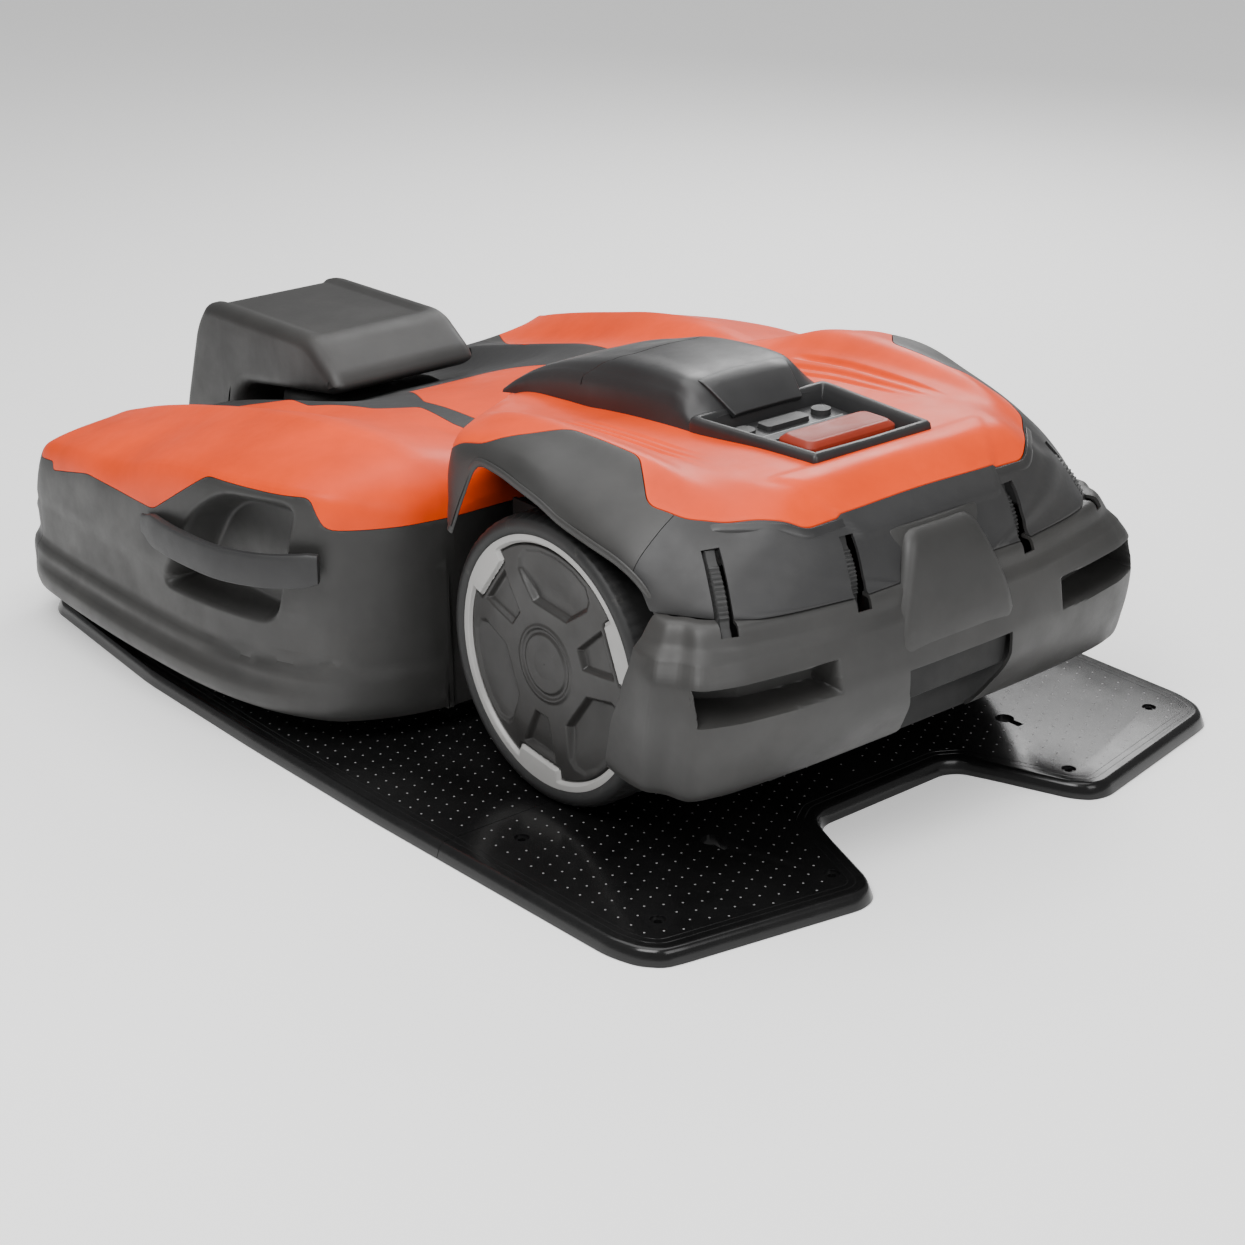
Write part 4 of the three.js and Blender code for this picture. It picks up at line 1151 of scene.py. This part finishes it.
def press_pocket(obj):
    """Pushes the long soft-lipped recess into both rear corners."""
    bm = open_mesh(obj)
    refine(bm, lambda x, y, z: 190 < abs(x) < 446 and 240 < z < 334 and y > 690)
    moves = []
    for v in bm.verts:
        x, y, z = (c / MM for c in v.co)
        x = abs(x)
        if not (200 < x < 440 and 250 < z < 326 and y > 700):
            continue
        shrink = smoothstep(300, 214, x)
        across = min(x - POCKET_INNER, POCKET_OUTER - x)
        tall = min(z - (POCKET_LOW + 4 * shrink), POCKET_HIGH - 2 + 2 * shrink - z)
        push = smoothstep(0.0, 9.0, min(across, tall))
        if push <= 0:
            continue
        wall = min(y, table_value(POCKET_WALL, x))
        narrow = lerp(x, POCKET_TURN, 0.8) if x > POCKET_TURN else x
        moves.append((v, lerp(x, narrow, push), lerp(y, wall, push)))
    for v, x, y in moves:
        v.co.x = math.copysign(x, v.co.x) * MM
        v.co.y = y * MM
    close_mesh(bm, obj)


press_pocket(bumper_sheet)
bumper = thicken(bumper_sheet, 5.0, (0, 500, 260))
bumper.name = "rear_bumper_shell"
CUTOUT = both_sides([(0, 90), (72, 90), (72, 164), (76, 170), (99, 236), (99, 268), (0, 268)])
boolean(bumper, prism("cutout", CUTOUT, "y", 700, 900), "DIFFERENCE")
cut_slots(bumper)
main_body(bumper, 0.01)
finish_shell(bumper, 1.4, 35)
boss = rounded(boss_solid("rear_boss", 0.0), 2.5, 4, 22)
# The plain tray across the top of the cut-out in the middle of the bumper, dressed in near-black painted
# shade.
TRAY = both_sides([(0, 266), (98, 266), (97, 228), (92, 222), (0, 222)])
tray = rounded(prism("rear_tray", TRAY, "y", 812, 824), 1.6, 3, 30)
place(bumper, "mower", "grey_body", GREY, "rear_bumper")
place(boss, "mower", "grey_body", GREY)
place(tray, "mower", "grey_body", PAINTED_SHADE)

# Layers of the bumper's shoulder round the boss: height, half width, how far back.
SHOULDER = [
    (338, 136, 808), (349, 131, 806), (372, 118, 799), (400, 104, 790), (426, 90, 781),
    (441, 80, 775),
]


def boss_skirt():
    """Shoulder of the bumper that runs up round the boss, above the joint line."""
    rings = []
    for z, half, y in SHOULDER:
        ring = [(half * k / 8, y - 6.0 * abs(k / 8) ** 3, z) for k in range(-8, 9)]
        ring += [(x, y0 - 9, z0) for x, y0, z0 in reversed(ring)]
        rings.append(ring)
    return rounded(ring_loft("boss_skirt", rings, False), 2.2, 3, 40)


place(boss_skirt(), "mower", "grey_body", GREY)

# How far out the edge of the wheel arch stands: y, x.
ARCH_REACH = [(200, 352), (251, 402), (313, 404), (400, 405), (560, 404), (620, 398), (664, 389)]
LIP_SIDES = 12


def arch_lip(side, name):
    """Rounded rim that stiffens the edge of the wheel arch."""
    path = [(table_value(ARCH_REACH, y), y, z) for y, z in ARCH[1:-1]]
    smooth = spline(path, [6] * (len(path) - 1))
    rings = []
    for i, p in enumerate(smooth):
        along = direction(smooth, i)
        up = np.array([0.0, -along[2], along[1]])
        ring = []
        for k in range(LIP_SIDES):
            a = 2 * math.pi * k / LIP_SIDES
            q = p + np.array([2.6 * math.cos(a) - 1.0, 0, 0]) + up * (6.0 * math.sin(a) + 3.0)
            ring.append((q[0] * side, q[1], q[2]))
        rings.append(ring)
    obj = ring_loft(name, rings, False)
    shade(obj, 50)
    return obj


place(arch_lip(1, "arch_lip_left"), "mower", "grey_body", GREY)
place(arch_lip(-1, "arch_lip_right"), "mower", "grey_body", GREY)

LINER_GAP = 8.0


def unit_shade_liner():
    """Near-black sheet of painted shade that closes the view through the joints of the drive unit."""
    obj = grid_mesh("unit_shade_liner", unit_grid)
    fix_normals(obj)
    mesh = obj.data
    if sum(p.normal.z * p.area for p in mesh.polygons) < 0:
        mesh.flip_normals()
    inward = [v.normal.copy() for v in mesh.vertices]
    for v, n in zip(mesh.vertices, inward):
        v.co -= n * LINER_GAP * MM
    add_wall(obj, 1.5)
    boolean(obj, prism("bay", offset_outline(BAY, 6.0), "z", 300, 700), "DIFFERENCE")
    boolean(obj, block("front", -700, 700, -60, 60, 200, 700), "DIFFERENCE")
    boolean(obj, block("below", -700, 700, -60, 900, 200, 384), "DIFFERENCE")
    cut_wheel_rooms(obj, 222, (276, 402), (372, 470), 4)
    cut_slots(obj, 17.0)
    return obj


place(unit_shade_liner(), "mower", "black_cover", PAINTED_SHADE)


def surface_height(x, y):
    """Height of the drive unit's outer skin over a point, from the nearest grid points."""
    near = [p for row in unit_grid for p in row if abs(p[0] - x) < 14 and abs(p[1] - y) < 14]
    best = sorted((math.hypot(p[0] - x, p[1] - y), p[2]) for p in near)[:3]
    total = sum(1 / (d + 0.5) for d, z in best)
    return sum(z / (d + 0.5) for d, z in best) / total


TRIM_HALF = [
    (0, 743.5), (100, 743.5), (196, 743.5), (214, 738.5), (234, 724), (280, 682), (312, 652),
]
TRIM_WIDTH = 9.0
# Section of the lip: distance from the hood's edge and height over the surface.
TRIM_SECTION = [(0.0, -6.0), (0.0, 1.4), (1.5, 2.6), (6.5, 2.4), (8.5, 1.2), (TRIM_WIDTH, -6.0)]


def hood_trim():
    """Dark lip that runs under the rear edge of the hood."""
    path = [(-x, y, 0) for x, y in reversed(TRIM_HALF[1:])] + [(x, y, 0) for x, y in TRIM_HALF]
    smooth = spline(path, [8] * (len(path) - 1))
    last = len(smooth) - 1
    outward = []
    heights = []
    for i, p in enumerate(smooth):
        along = direction(smooth, i)
        out = np.array([-along[1], along[0]])
        outward.append(out)
        heights.append([surface_height(p[0] + out[0] * k, p[1] + out[1] * k)
                        for k in (0.0, TRIM_WIDTH)])
    heights = np.array(heights)
    rings = []
    for i, p in enumerate(smooth):
        out = outward[i]
        low, high = heights[max(i - 5, 0):i + 6].mean(axis=0)
        thin = smoothstep(0, 6, min(i, last - i))
        ring = []
        for k, up in TRIM_SECTION:
            z = lerp(low, high, k / TRIM_WIDTH) + lerp(-3.0, up, thin if up > 0 else 1.0)
            ring.append((p[0] + out[0] * k, p[1] + out[1] * k, z))
        rings.append(ring)
    return rounded(ring_loft("hood_trim", rings, False), 0.6, 2, 30)


place(hood_trim(), "mower", "black_cover", DARK, "hood_ledge")


# ----------------------------------------------------------------- wheels
def wheel_point(r, a, x):
    """A point at a radius and an angle round the wheel's axle."""
    return (x, WHEEL_Y + r * math.cos(a), WHEEL_Z + r * math.sin(a))


def lathe(name, profile, steps=128):
    """Turns a closed (radius, x) profile round the wheel's axle, at the left wheel."""
    rings = []
    for i in range(steps):
        a = 2 * math.pi * i / steps
        rings.append([wheel_point(r, a, x) for r, x in profile])
    return ring_loft(name, rings)


# Outer skin of the tyre from the inner bead round the tread to the outer bead: radius, x.
TYRE_SKIN = [
    (160, 304), (172, 300), (186, 297), (195, 299), (201, 304), (204, 312), (205, 322),
    (205, 340), (205, 366), (204, 376), (201, 384), (196, 389), (190, 391), (184, 390),
    (180, 388), (178, 384), (178, 374), (160, 374),
]
TREAD_LANES = (330, 358)


def tyre():
    """The tyre, with fine cross grooves and two lanes round the tread."""
    skin = spline([(r, x, 0) for r, x in TYRE_SKIN], [3] * (len(TYRE_SKIN) - 1), (15, 16))
    obj = lathe("tyre_rubber_left", [(p[0], p[1]) for p in skin], 216)
    for v in obj.data.vertices:
        x, y, z = (c / MM for c in v.co)
        dy, dz = y - WHEEL_Y, z - WHEEL_Z
        r = math.hypot(dy, dz)
        if r > 196 and 302 < x < 388:
            turn = math.degrees(math.atan2(dz, dy)) % 5.0
            groove = 1 - smoothstep(0.6, 1.5, abs(turn - 2.5))
            side = smoothstep(302, 308, x) * (1 - smoothstep(380, 387, x))
            lane = min(abs(x - at) for at in TREAD_LANES)
            depth = max(groove * 2.6, (1 - smoothstep(1.0, 3.2, lane)) * 3.0) * side
            k = (r - depth) / r
            v.co.y = (WHEEL_Y + dy * k) * MM
            v.co.z = (WHEEL_Z + dz * k) * MM
    shade(obj, 60)
    return obj


def polar_sheet(name, radii, turns, height):
    """A round relief: height(r, angle) gives x, closed at the back."""
    verts = []
    for i in range(turns):
        a = 2 * math.pi * i / turns
        verts.extend(wheel_point(r, a, height(r, a)) for r in radii)
    obj = new_object(name, verts, net(turns, len(radii), True))
    mesh = obj.data
    if sum(p.normal.x for p in mesh.polygons) < 0:
        mesh.flip_normals()
    return add_wall(obj, 5.0)


RING_OUT, RING_IN = 183.0, 167.0
LOBES = [23.0, 143.0, 263.0]
BIG_POCKET = [
    (-36, 78), (36, 78), (74, 112), (77, 128), (66, 146), (36, 158), (0, 162), (-36, 158),
    (-66, 146), (-77, 128), (-74, 112),
]
SMALL_POCKET = [(-15, 77), (15, 77), (36, 139), (-36, 139)]
LOBE_SHAPE = [(-40, 146), (40, 146), (47, 168), (58, 190), (-58, 190), (-47, 168)]


def turned_point(r, a, centre):
    """The point in a frame whose second axis points along the given direction."""
    t = a - math.radians(centre)
    return -r * math.sin(t), r * math.cos(t)


def lobe_depth(r, a):
    """Distance inside the nearest wide lobe of the light ring, negative outside."""
    return max(polygon_depth(*turned_point(r, a, c), LOBE_SHAPE) for c in LOBES)


def ring_depth(r, a):
    """Distance inside the light ring's outline."""
    bump = 4.0 * smoothstep(-2.0, 2.0, lobe_depth(r, a))
    return min(max(r - RING_IN, lobe_depth(r, a)), RING_OUT + bump - r)


def ring_height(r, a):
    """How far out the light ring stands, with a soft outer edge."""
    return 382.5 + 5.0 * smoothstep(0.0, 4.0, ring_depth(r, a))


def pocket_depth(r, a):
    """Three wide and three narrow pockets between the spokes of the disc."""
    best = 0.0
    for centre in LOBES:
        small = polygon_depth(*turned_point(r, a, centre), SMALL_POCKET)
        big = polygon_depth(*turned_point(r, a, centre + 60.0), BIG_POCKET)
        best = max(best, 8.0 * smoothstep(0.0, 7.0, small))
        fade = 1.0 - 0.8 * smoothstep(95.0, 160.0, r)
        best = max(best, 10.0 * fade * smoothstep(0.0, 8.0, big))
    return best


def disc_height(r, a):
    """How far out the disc stands: crown, pockets, hub and the seat of the ring."""
    crown = 387.0 - 3.5 * smoothstep(110.0, 168.0, r)
    hub = 2.0 * (1 - smoothstep(52.0, 58.0, r))
    hub_dish = 2.6 * smoothstep(40.0, 45.0, r) * (1 - smoothstep(47.0, 52.0, r))
    rim = -6.0 * smoothstep(-4.0, 0.0, max(ring_depth(r, a), -6.0)) if r > 130.0 else 0.0
    return crown - pocket_depth(r, a) + hub - hub_dish + rim


def ring_coat():
    """The light ring, trimmed to its lobed outline."""
    ring = polar_sheet("ring_coat_left", [144.0 + 1.1 * i for i in range(41)], 360, ring_height)
    bm = open_mesh(ring)
    gone = []
    for f in bm.faces:
        c = f.calc_center_median() / MM
        dy, dz = c.y - WHEEL_Y, c.z - WHEEL_Z
        if ring_depth(math.hypot(dy, dz), math.atan2(dz, dy)) < -0.4:
            gone.append(f)
    bmesh.ops.delete(bm, geom=gone, context="FACES")
    close_mesh(bm, ring)
    shade(ring, 45)
    return ring


def disc_relief():
    """The dark disc with its pockets, spokes and hub."""
    radii = [1.0, 12.0, 24.0, 32.0] + [36.0 + 1.3 * i for i in range(104)]
    disc = polar_sheet("disc_relief_left", [r for r in radii if r <= 172.0], 540, disc_height)
    shade(disc, 45)
    return disc


CAP = [(0.5, 380), (0.5, 389.5), (18, 389.3), (30, 388.4), (34, 387.4), (36, 385.5), (36, 380)]
for made, slot, look, prefix in (
        (tyre(), "tyre_black", TYRE, "tyre_"),
        (ring_coat(), "rim_silver", SILVER, "rim_ring_"),
        (disc_relief(), "grey_body", WHEEL_GREY, "wheel_disc_"),
        (rounded(lathe("cap_left", CAP, 96), 0.8, 2, 30, 40), "grey_body", WHEEL_GREY, "hub_cap_")):
    other = mirrored(made, made.name.replace("left", "right"))
    place(made, "wheel_left", slot, look, prefix + "left")
    place(other, "wheel_right", slot, look, prefix + "right")


# --------------------------------------------- top cover and control panel
# y, then (x, z) of foot edge, wall top, crease, crown edge, and the middle height
COVER = [
    (-12, (104, 440), (103, 444), (98, 447), (84, 449), 450),
    (20, (105, 446), (104, 461), (99, 468), (84, 472), 474),
    (60, (107, 452), (104, 477), (98, 487), (84, 493), 496),
    (120, (111, 458), (107, 492), (100, 506), (85, 515), 518),
    (183, (115, 464), (109, 504), (103, 517), (88, 531), 536),
    (240, (119, 471), (112, 512), (106, 525), (91, 545), 551),
    (320, (124, 480), (116, 519), (110, 532), (93, 552), 557),
    (380, (127, 488), (118, 520), (112, 534), (93, 552), 556),
    (404, (128, 491), (120, 517), (112, 528), (90, 545), 550),
    (428, (129, 494), (123, 510), (112, 516), (86, 528), 533),
    (447, (129, 496), (125, 505), (113, 508), (84, 512), 514),
]


def cover_row(row):
    """One section of the top cover, from foot to foot."""
    y, foot, wall, crease, crown, middle = row
    half = [foot, wall, crease, crown, (crown[0] * 0.5, lerp(crown[1], middle, 0.7)), (0, middle)]
    return [(x, y, z) for x, z in whole_row(half)]


cover_grid = sheet_grid([cover_row(r) for r in COVER], 5.0, 6.0, (2, 8))
top_shell = thicken(grid_mesh("cover_sheet", cover_grid), 4.0, (0, 230, 430))
top_shell.name = "top_cover_shell"
# The front plate is a separate moulding: a fine joint runs across and down both sides.
JOINT = [
    (-130, 176), (-106, 180), (-88, 226), (-60, 236), (60, 236), (88, 226), (106, 180), (130, 176),
]
JOINT_WIDTH = 2.0
joint_line = JOINT + [(x, y + JOINT_WIDTH) for x, y in reversed(JOINT)]
joint_tool = prism("joint", joint_line, "z", 499, 600)
front_plate = copy_of(top_shell, "top_cover_front_plate")
front_plan = [(-140, -40), (140, -40)] + list(reversed(JOINT))
front_zone = prism("front_zone", front_plan, "z", 400, 600)
boolean(front_plate, front_zone, "INTERSECT", True)
boolean(top_shell, front_zone, "DIFFERENCE")
boolean(top_shell, joint_tool, "DIFFERENCE")
for piece in (top_shell, front_plate):
    main_body(piece, 0.05)
    finish_shell(piece, 1.0, 40)

# Layers of the flap from its hinge to its lip: y, half width, height.
VISOR = [
    (396, 80, 556.5), (406, 79, 553), (418, 76, 545), (432, 72, 534), (446, 67.5, 522),
    (456, 64, 513),
]
VISOR_WALL = 7.0


def visor_flap():
    """The sloping flap over the front end of the control recess."""
    rings = []
    for i, (y, half, z) in enumerate(VISOR):
        lift = 2.2 * smoothstep(0, 1.2, i) * 0.7
        ring = []
        for k in range(25):
            t = k / 24 * 2 - 1
            sag = 1.5 * abs(t) ** 6 + 4.0 * t * t * (1 - i / 5)
            ring.append((half * t, y + lift, z + lift - sag))
        ring += [(x, y0 - VISOR_WALL * 0.6, z0 - VISOR_WALL) for x, y0, z0 in reversed(ring)]
        rings.append(ring)
    return rounded(ring_loft("visor_flap", rings, False), 1.6, 3, 40)


FRAME_PLAN = both_sides([(0, 430), (129, 430), (130, 452), (112, 657), (108, 661), (0, 664)])
# Section of the rim: distance inwards from the outline and height.
RIM_SECTION = [
    (0, 489), (0.0, 508), (1.5, 515), (5.0, 518.6), (10, 519), (14, 517), (17, 511), (24, 494),
    (24, 489),
]


def frame_ring():
    """The rim round the control recess with rounded crest and sloping inner walls."""
    rings = []
    for inset, z in RIM_SECTION:
        line = offset_outline(FRAME_PLAN, -inset)
        rings.append([(x, y, z) for x, y in round_corners(line, max(20 - inset * 0.4, 8), 6)])
    obj = ring_loft("control_rim", rings)
    shade(obj, 50)
    return obj


place(top_shell, "mower", "black_cover", DARK, "top_cover")
place(front_plate, "mower", "black_cover", DARK)
place(visor_flap(), "mower", "black_cover", DARK)
place(frame_ring(), "mower", "black_cover", DARK, "control_frame")

# A pale line between the two rows of keys.
panel_line = block("panel_line", -92, 92, 508.5, 510.0, 494.0, 494.4)
soften(panel_line, 0.1, 1, 40)
place(panel_line, "mower", "grey_panel", PALE_LINE)


def stop_bar():
    """The stop bar: rounded plan, chamfered crest and a shallow dish on top."""
    low, high = ([c / MM for c in corner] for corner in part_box("stop_button"))
    middle = ((low[0] + high[0]) / 2, (low[1] + high[1]) / 2)
    half = ((high[0] - low[0]) / 2, (high[1] - low[1]) / 2)
    base, crest = low[2], high[2]
    rings = []
    for inset, z in ((0, base), (0, crest - 7.5), (0.8, crest - 6.0), (7.0, crest - 0.8),
                     (8.5, crest), (12.0, crest), (14.0, crest - 0.7)):
        x, y = half[0] - inset, half[1] - inset
        outline = round_corners([(-x, -y), (x, -y), (x, y), (-x, y)], 16 - inset * 0.5, 6)
        rings.append([(middle[0] + a, middle[1] + b, z) for a, b in outline])
    obj = ring_loft("stop_bar", rings, False)
    shade(obj, 30)
    return obj


place(stop_bar(), "stop", "stop_red", RED, "stop_button")


# ----------------------------------------------------------- contact tower
# Side outline of the tower (y, z) from the front foot over the head, and each corner's radius.
TOWER = [
    (-912, 22, 0), (-889, 215, 30), (-836, 374, 60), (-804, 414, 40), (-780, 419, 20),
    (-500, 424, 30), (-474, 417, 26), (-414, 376, 20), (-399, 355, 12), (-426, 339, 14),
    (-683, 299, 16), (-713, 270, 20), (-722, 180, 20), (-728, 22, 0),
]
TOWER_HALF = 144.0
TOWER_EDGE = 22.0
TOWER_FOOT = 22.0
TOWER_STEP = 14


def tower_path():
    """The side outline with rounded corners, open at the foot."""
    points = [np.array(row[:2], float) for row in TOWER]
    out = [points[0]]
    for i in range(1, len(TOWER) - 1):
        p, a, b = points[i], points[i - 1], points[i + 1]
        la, lb = np.linalg.norm(a - p), np.linalg.norm(b - p)
        reach = min(TOWER[i][2], la * 0.48, lb * 0.48)
        out.extend(corner_arc(p + (a - p) / la * reach, p, p + (b - p) / lb * reach, 6))
    out.append(points[-1])
    dense = [out[0]]
    for a, b in zip(out, out[1:]):
        n = max(1, int(np.linalg.norm(b - a) // TOWER_STEP))
        for k in range(1, n + 1):
            dense.append(a + (b - a) * k / n)
    return dense


def tower_shell():
    """The tower's housing with rounded side edges and a raised panel on its head."""
    path = tower_path()
    flat = TOWER_HALF - TOWER_EDGE
    across = [flat * k / 14 for k in range(15)]
    across += [flat + TOWER_EDGE * math.sin(math.pi / 2 * k / 8) for k in range(1, 9)]
    xs = [-x for x in reversed(across[1:])] + across
    rows = []
    for i, p in enumerate(path):
        along = direction(path, i)
        inward = np.array([along[1], -along[0]])
        on_top = smoothstep(-822, -800, p[0]) * (1 - smoothstep(-520, -492, p[0]))
        if p[1] <= 400:
            on_top = 0
        row = []
        for x in xs:
            over = max(abs(x) - flat, 0.0)
            sink = TOWER_EDGE - math.sqrt(max(TOWER_EDGE ** 2 - over ** 2, 0.0))
            sink += 5.0 * on_top * (1 - smoothstep(104, 113, abs(x)))
            q = p + inward * sink
            row.append((x, q[0], max(q[1], TOWER_FOOT)))
        rows.append(row)
    obj = grid_mesh("tower_shell", rows)
    bm = open_mesh(obj)
    bm.verts.ensure_lookup_table()
    width = len(xs)
    left = [bm.verts[i * width] for i in range(len(rows))]
    right = [bm.verts[i * width + width - 1] for i in range(len(rows))]
    first = [bm.verts[k] for k in range(width)]
    last = [bm.verts[(len(rows) - 1) * width + k] for k in range(width)]
    bm.faces.new(left)
    bm.faces.new(list(reversed(right)))
    bm.faces.new(first + list(reversed(last)))
    bmesh.ops.triangulate(bm, faces=[f for f in bm.faces if len(f.verts) > 4])
    bmesh.ops.recalc_face_normals(bm, faces=bm.faces)
    close_mesh(bm, obj)
    return obj


tower = tower_shell()
# Slots for the charging contacts in the underside of the head.
for side in (-1, 1):
    slot = block("contact_slot", side * 60 - 16, side * 60 + 16, -659, -561, 270, 332)
    boolean(tower, slot, "DIFFERENCE")
shade(tower, 45)
place(tower, "station", "grey_body", GREY, "tower_housing")


# ----------------------------------------------------------- station plate
PLATE_TOP = 21.6
PLATE_HALF = [
    (120, -905), (165, -890), (205, -800), (480, -690), (524, -668), (540, -640), (572, -300),
    (576, 0), (574, 300), (560, 780), (548, 820), (528, 842), (505, 848), (245, 896), (222, 890),
    (206, 870), (165, 760), (146, 716), (120, 700), (0, 700), (0, -905),
]
PLATE_OUTLINE = both_sides([(0, -905)] + PLATE_HALF[:-1])
PLATE_JOINT = 442.0
SCREWS = [(485, 781), (235, 838), (480, 500), (480, -560)]
KEYHOLE = (292, 668)
STUD_PITCH = 25.0
STUD_COLUMN = STUD_PITCH * math.sqrt(3) / 2
STUD_SIDES = 8
# Radius and height over the plate of a stud's foot and shoulder.
STUD_RINGS = [(1.7, -0.1), (1.1, 0.25)]
STUD_TOP = 0.34


def stud_fits(x, y):
    """True where the plate has room for a stud: away from edges, joint, tower and holes."""
    deep = polygon_depth(x, y, PLATE_HALF) if x > 0.1 else min(700 - y, y + 905)
    if x < 21:
        deep = max(deep, min(560 - x, 700 - y, y + 600))
    free = all(math.hypot(x - a, y - b) > 24 for a, b in SCREWS + [KEYHOLE])
    tower_foot = x < 152 and y < -720
    return deep > 30 and free and abs(y - PLATE_JOINT) > 12 and not tower_foot


def studs():
    """Small anti-slip domes on a staggered lattice over the plate's flat top."""
    verts, faces = [], []
    n = STUD_SIDES
    for side in (-1, 1):
        for i in range(0 if side > 0 else 1, int(560 / STUD_COLUMN) + 1):
            x = i * STUD_COLUMN
            y = -880 + (STUD_PITCH / 2 if i % 2 else 0)
            while y < 890:
                if stud_fits(x, y):
                    base = len(verts)
                    for radius, up in STUD_RINGS:
                        for k in range(n):
                            a = 2 * math.pi * k / n
                            verts.append((side * x + radius * math.cos(a),
                                          y + radius * math.sin(a), PLATE_TOP + up))
                    verts.append((side * x, y, PLATE_TOP + STUD_TOP))
                    for k in range(n):
                        m = (k + 1) % n
                        faces.append((base + k, base + m, base + n + m, base + n + k))
                        faces.append((base + n + k, base + n + m, base + 2 * n))
                y += STUD_PITCH
    obj = new_object("plate_studs", verts, faces)
    for poly in obj.data.polygons:
        poly.use_smooth = True
    return obj


# The studs wear a light grey painted highlight, not the plate's black.
place(studs(), "station", "plate_black", STUD_HIGHLIGHT)

# Section of the plate's sloping rim: how far out and height.
PLATE_RIM = [(8.5, 0.0), (8.8, 1.5), (3.5, 15.5), (1.0, 19.5), (-3.0, 21.3), (-6.0, PLATE_TOP)]


def plate_body():
    """The moulded plate with rounded corners, a sloping rim and its fixing holes."""
    rings = []
    for grown, z in PLATE_RIM:
        line = round_corners(offset_outline(PLATE_OUTLINE, grown), 26.0, 7)
        rings.append([(x, y, z) for x, y in line])
    obj = ring_loft("plate_body", rings, False)
    for side in (-1, 1):
        for x, y in SCREWS:
            boolean(obj, cylinder("hole", "z", (side * x, y), 5.5, -5, 30, 24), "DIFFERENCE")
            sink = cylinder("sink", "z", (side * x, y), 10.5, PLATE_TOP - 3.5, 30, 32)
            boolean(obj, sink, "DIFFERENCE")
        x, y = KEYHOLE
        boolean(obj, cylinder("eye", "z", (side * x, y), 14.0, -5, 30, 32), "DIFFERENCE")
        neck = block("neck", side * x - 6, side * x + 6, y, y + 32, -5, 30)
        boolean(obj, neck, "DIFFERENCE")
    front = copy_of(obj, "plate_body_front")
    front_zone = block("front_zone", -700, 700, -1000, PLATE_JOINT - 0.5, -10, 40)
    boolean(front, front_zone, "INTERSECT")
    rear_zone = block("rear_zone", -700, 700, PLATE_JOINT + 0.5, 1000, -10, 40)
    boolean(obj, rear_zone, "INTERSECT")
    obj.name = "plate_body_rear"
    return rounded(front, 0.8), rounded(obj, 0.8)


plate_front, plate_rear = plate_body()
place(plate_front, "station", "plate_black", PLATE, "plate_front")
place(plate_rear, "station", "plate_black", PLATE, "plate_rear")


def plate_line(name, inset, width, rise=0.3):
    """A fine raised line that follows the plate's outline."""
    foot, top = PLATE_TOP - 0.2, PLATE_TOP + rise
    rings = []
    for inwards, z in ((inset, foot), (inset + 0.4, top), (inset + width, top),
                       (inset + width + 0.4, foot)):
        line = round_corners(offset_outline(PLATE_OUTLINE, -inwards), 10.0, 4)
        rings.append([(x, y, z) for x, y in line])
    obj = ring_loft(name, rings)
    shade(obj, 50)
    return obj


place(plate_line("plate_line_outer", 14.0, 2.0), "station", "plate_black", PLATE)
place(plate_line("plate_line_inner", 24.0, 1.4), "station", "plate_black", PLATE)


# ------------------------------------------------------------------- studio
FLOOR_HALF = 9000
FLOOR_HEIGHT = -0.5
LAMP_TARGET = (0.0, 0.0, 0.25)
# Name, place in metres, power in watts and size in metres.
LAMPS = [
    ("key", (2.2, 1.2, 3.0), 95.0, 1.6),
    ("rear", (0.3, 3.4, 2.2), 45.0, 1.8),
    ("back", (-2.8, -1.6, 2.6), 85.0, 1.8),
    ("top", (0.0, -0.2, 3.6), 95.0, 3.0),
]


def studio():
    """A pale floor, a light room and large soft lamps."""
    corners = [(-1, -1), (1, -1), (1, 1), (-1, 1)]
    spread = [(FLOOR_HALF * x, FLOOR_HALF * y, FLOOR_HEIGHT) for x, y in corners]
    floor = new_object("floor", spread, [(0, 1, 2, 3)])
    floor_look = bpy.data.materials.new("floor")
    floor_look.use_nodes = True
    shader = floor_look.node_tree.nodes["Principled BSDF"]
    shader.inputs["Base Color"].default_value = (0.93, 0.93, 0.925, 1.0)
    shader.inputs["Roughness"].default_value = 0.75
    shader.inputs["Emission Color"].default_value = (1.0, 1.0, 1.0, 1.0)
    shader.inputs["Emission Strength"].default_value = 0.38
    floor.data.materials.append(floor_look)

    world = bpy.data.worlds.new("room")
    world.use_nodes = True
    background = world.node_tree.nodes["Background"]
    background.inputs["Color"].default_value = (1.0, 1.0, 1.0, 1.0)
    background.inputs["Strength"].default_value = 0.34
    SCENE.world = world

    for name, lamp_place, power, size in LAMPS:
        data = bpy.data.lights.new(name, "AREA")
        data.energy = power
        data.size = size
        lamp = bpy.data.objects.new(name, data)
        lamp.location = lamp_place
        lamp.rotation_mode = "QUATERNION"
        aim = Vector(LAMP_TARGET) - Vector(lamp_place)
        lamp.rotation_quaternion = aim.to_track_quat("-Z", "Y")
        SCENE.collection.objects.link(lamp)


studio()
